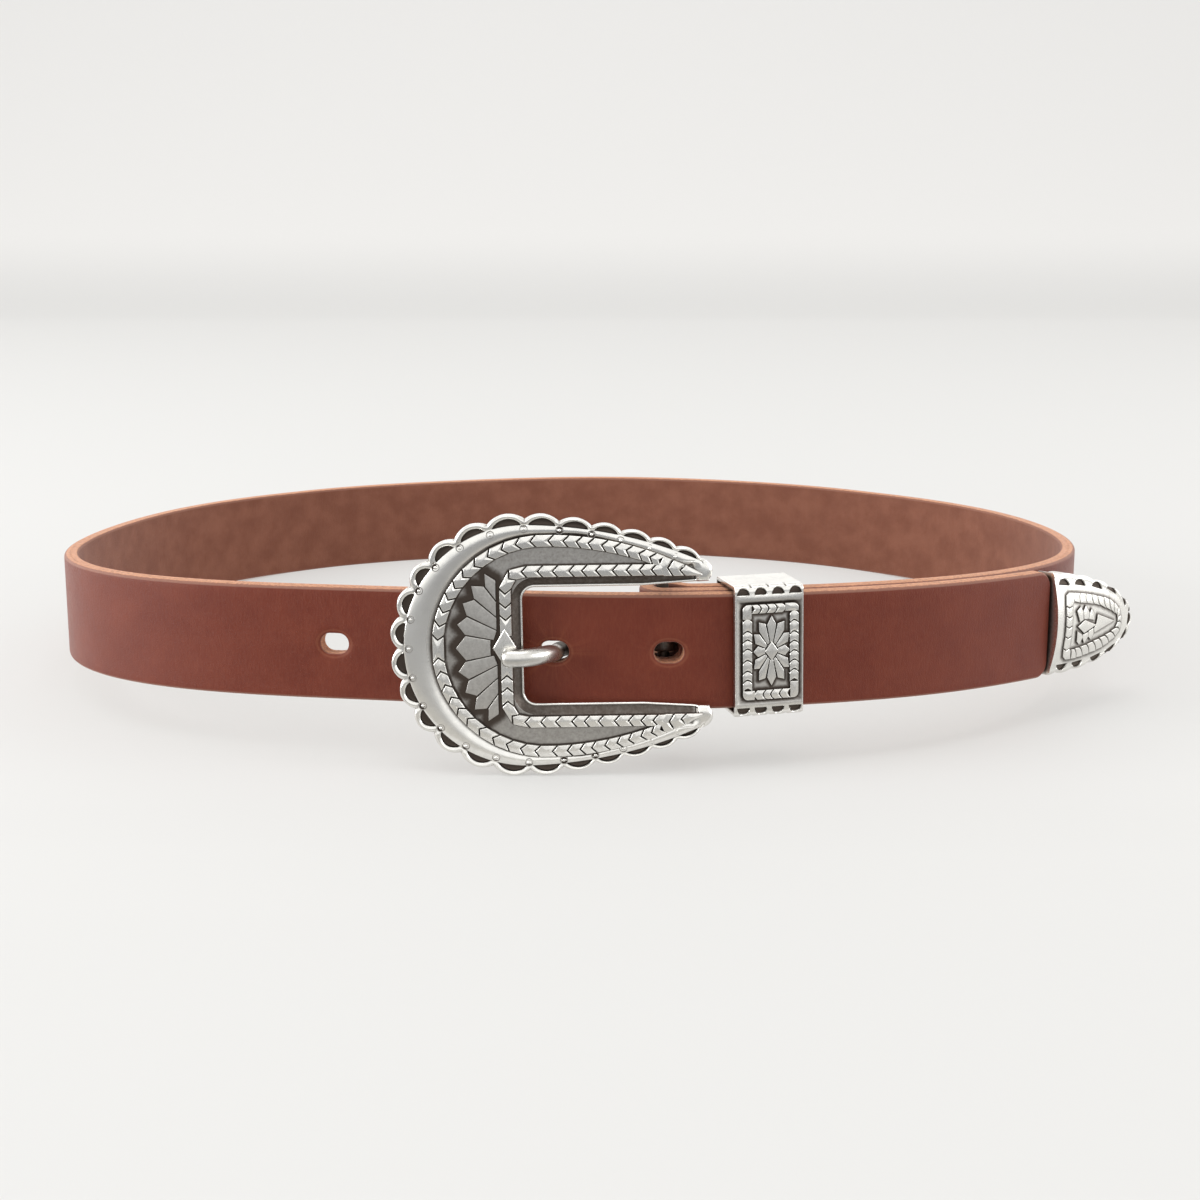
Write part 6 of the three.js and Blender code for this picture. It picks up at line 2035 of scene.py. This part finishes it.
@dataclass(frozen=True)
class Studio:
    """A pale floor that sweeps up behind, a room of glowing cards, three soft lamps, and the photo's camera.

    Attributes:
        cards: Name, half width, (y, z) of the near and far edge, and light of each card that faces the belt.
        side_cards: Name, x and light of each card beside the belt.
        lamps: Name, place, size, power and turn in degrees of each lamp.
    """

    eye: Triple = (0.003936, -0.470742, 0.132367)
    dip: float = 0.25136
    lens: float = 52.8
    floor_colour: Colour = (0.38, 0.38, 0.375)
    floor_glow: Colour = (0.35, 0.345, 0.335)
    wall_glow: Colour = (0.475, 0.465, 0.45)
    floor_half: float = 3.0
    sweep: Pair = (1.0, 0.8)
    cards: tuple[tuple[str, float, Pair, Pair, Colour], ...] = (
        ("card_near", 1.2, (-0.128, 0.0005), (-0.175, 0.003), (0.62, 0.6, 0.56)),
        ("card_middle", 1.2, (-0.175, 0.003), (-0.31, 0.012), (0.38, 0.38, 0.382)),
        ("card_front", 1.2, (-0.31, 0.012), (-0.8, 0.02), (0.26, 0.27, 0.29)),
        ("card_window", 1.6, (-0.8, 0.02), (-0.8, 1.0), (1.22, 1.22, 1.21)),
        ("card_back", 0.9, (0.95, 0.0), (0.95, 1.2), (1.25, 1.24, 1.22)),
    )
    side_cards: tuple[tuple[str, float, float], ...] = (("card_left", -0.75, 2.3), ("card_right", 0.75, 1.8))
    lamps: tuple[tuple[str, Colour, float, float, Pair], ...] = (
        ("lamp_top", (-0.1, -0.15, 1.5), 1.1, 6.6, (0.0, 0.0)),
        ("lamp_left", (-1.15, -0.35, 0.32), 0.6, 10.5, (-75.0, 17.0)),
        ("lamp_right", (1.15, -0.35, 0.32), 0.6, 5.0, (75.0, -17.0)),
    )

    def add(self, name: str, data: Any, place: Sequence[float], turn: Sequence[float]) -> Object:
        """Adds a lamp or the camera at a place, turned by Euler angles in radians."""
        thing = bpy.data.objects.new(name, data)
        thing.location = place
        thing.rotation_euler = turn
        bpy.context.scene.collection.objects.link(thing)
        return thing

    def add_camera(self) -> None:
        """Adds the camera."""
        data = bpy.data.cameras.new("camera")
        data.lens, data.sensor_width, data.clip_start = self.lens, 36.0, 0.01
        bpy.context.scene.camera = self.add("camera", data, self.eye, (math.pi / 2 - self.dip, 0.0, 0.0))

    def add_floor(self) -> None:
        """Adds the floor, flat in front and curving up to a wall behind."""
        start, radius = self.sweep
        curve = np.array([start, radius]) + radius * around(np.linspace(-math.pi / 2, 0.0, 17)[1:])
        side = np.concatenate([[[-1.6, 0.0], [start, 0.0]], curve, [[start + radius, 3.2]]])
        sides = [np.column_stack([np.full(len(side), x), side]) for x in (-self.floor_half, self.floor_half)]
        mesh = bpy.data.meshes.new("floor")
        mesh.from_pydata(np.concatenate(sides).tolist(), [], grid_quads(2, len(side))[:, ::-1].tolist())
        mesh.polygons.foreach_set("use_smooth", np.ones(len(mesh.polygons), bool))
        g = Graph(bpy.data.materials.new("floor_white"))
        glow = g.mix(g.place().part("Z").eased(-0.01, 0.055), self.floor_glow, self.wall_glow)
        sockets = {"Base Color": self.floor_colour, "Roughness": 0.9, "Specular IOR Level": 0.2}
        sockets |= {"Emission Color": glow, "Emission Strength": 1.0}
        linked("floor", mesh, g.finish("ShaderNodeBsdfPrincipled", sockets))

    def add_card(self, name: str, corners: Sequence[Triple], glow: Colour) -> None:
        """Adds a plain glowing card, from its four corners, that is seen only in reflections."""
        mesh = bpy.data.meshes.new(name)
        mesh.from_pydata(list(corners), [], [(0, 1, 2, 3)])
        graph = Graph(bpy.data.materials.new(name))
        material = graph.finish("ShaderNodeEmission", {"Color": glow, "Strength": 1.0})
        card = linked(name, mesh, material)
        for kind in ("visible_camera", "visible_diffuse", "visible_transmission", "visible_shadow"):
            setattr(card, kind, False)

    def add_room(self) -> None:
        """Lights the world by direction: bright overhead and behind, duller in front."""
        world = bpy.data.worlds.new("room")
        bpy.context.scene.world = world
        g = Graph(world)
        way = g.out("ShaderNodeTexCoord", {}, {}, "Generated")
        level = g.mix(way.part("Y").eased(-0.75, 0.1), (0.34, 0.36, 0.4), (0.9, 0.89, 0.87))
        sky = g.mix(way.part("Z").eased(0.25, 0.95), level, (1.25, 1.24, 1.22))
        g.finish("ShaderNodeBackground", {"Color": sky, "Strength": 0.85}, "ShaderNodeOutputWorld")

    def build(self) -> None:
        """Sets up the whole studio."""
        self.add_camera()
        self.add_floor()
        for name, half, (y0, z0), (y1, z1), glow in self.cards:
            self.add_card(name, [(-half, y0, z0), (half, y0, z0), (half, y1, z1), (-half, y1, z1)], glow)
        for name, x, glow in self.side_cards:
            corners = [(x, -0.05, 0.0), (x, 0.95, 0.0), (x, 0.95, 0.8), (x, -0.05, 0.8)]
            self.add_card(name, corners, (glow, glow * 0.99, glow * 0.98))
        self.add_room()
        for name, place, size, power, (tilt, yaw) in self.lamps:
            data = bpy.data.lights.new(name, "AREA")
            data.shape, data.size, data.energy = "SQUARE", size, power
            self.add(name, data, place, (0.0, math.radians(tilt), math.radians(yaw)))
        settings = bpy.context.scene.view_settings
        settings.view_transform, settings.look = "Standard", "None"


def buckle_place() -> Place:
    """The buckle's axes: it stands square to the front, leaning with the strap, and rolled a little."""
    axes = np.array([[1.0, 0.0, 0.0], UP, [0.0, -math.cos(LEAN), math.sin(LEAN)]])
    return Place(np.array([-10.0, -7.94, 28.8]), axes).rolled(0.9)


def strap_place(route: StrapRoute, turn: float, inset: float, rise: float, yaw: float = 0.0) -> Place:
    """Axes on the strap at a turn of the loop.

    Args:
        route: The strap's route.
        turn: Where, in degrees.
        inset: Distance in from the line.
        rise: Height over the strap's lower edge.
        yaw: Further turn of the heading, in degrees.

    Returns:
        The axes.
    """
    run = route.on_line(np.array([turn]), inset)
    angle = math.atan2(run.heading[0, 1], run.heading[0, 0]) + math.radians(yaw)
    return route.plan.place(run.at[0], around(angle), float(run.height[0]), rise)


def keeper_place(route: StrapRoute) -> Place:
    """The keeper's axes: over both plies, turned and rolled a little."""
    return strap_place(route, -67.7, -1.95, STRAP_MIDDLE + 0.5, 1.2).rolled(1.5)


def tip_place(route: StrapRoute) -> Place:
    """The tip's axes: at the billet's end, and dipping."""
    at = route.at[-1] + route.heading[-1] * 0.5
    return route.plan.place(at, route.heading[-1], float(route.height[-1]), STRAP_MIDDLE).rolled(-1.8)


def main() -> None:
    """Builds the belt and its studio in order."""
    logging.basicConfig(level=logging.INFO)
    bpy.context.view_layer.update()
    route = StrapRoute(LoopPlan())
    strap = Strap(route)
    silver, leather = SilverFinish().material(), LeatherFinish(strap.worn_holes()).material()
    strap.build(leather)
    LOG.info("strap")
    buckle = Buckle(buckle_place())
    buckle.build(silver)
    LOG.info("buckle")
    Prong(buckle.place).build((buckle.bar_u, buckle.bar_w), silver)
    Keeper(keeper_place(route)).build(silver)
    Tip(tip_place(route)).build(silver)
    TailRivet(strap_place(route, strap.rivet_turn, PLY, STRAP_MIDDLE)).build(silver)
    LOG.info("small pieces")
    Studio().build()


if __name__ == "__main__":
    main()
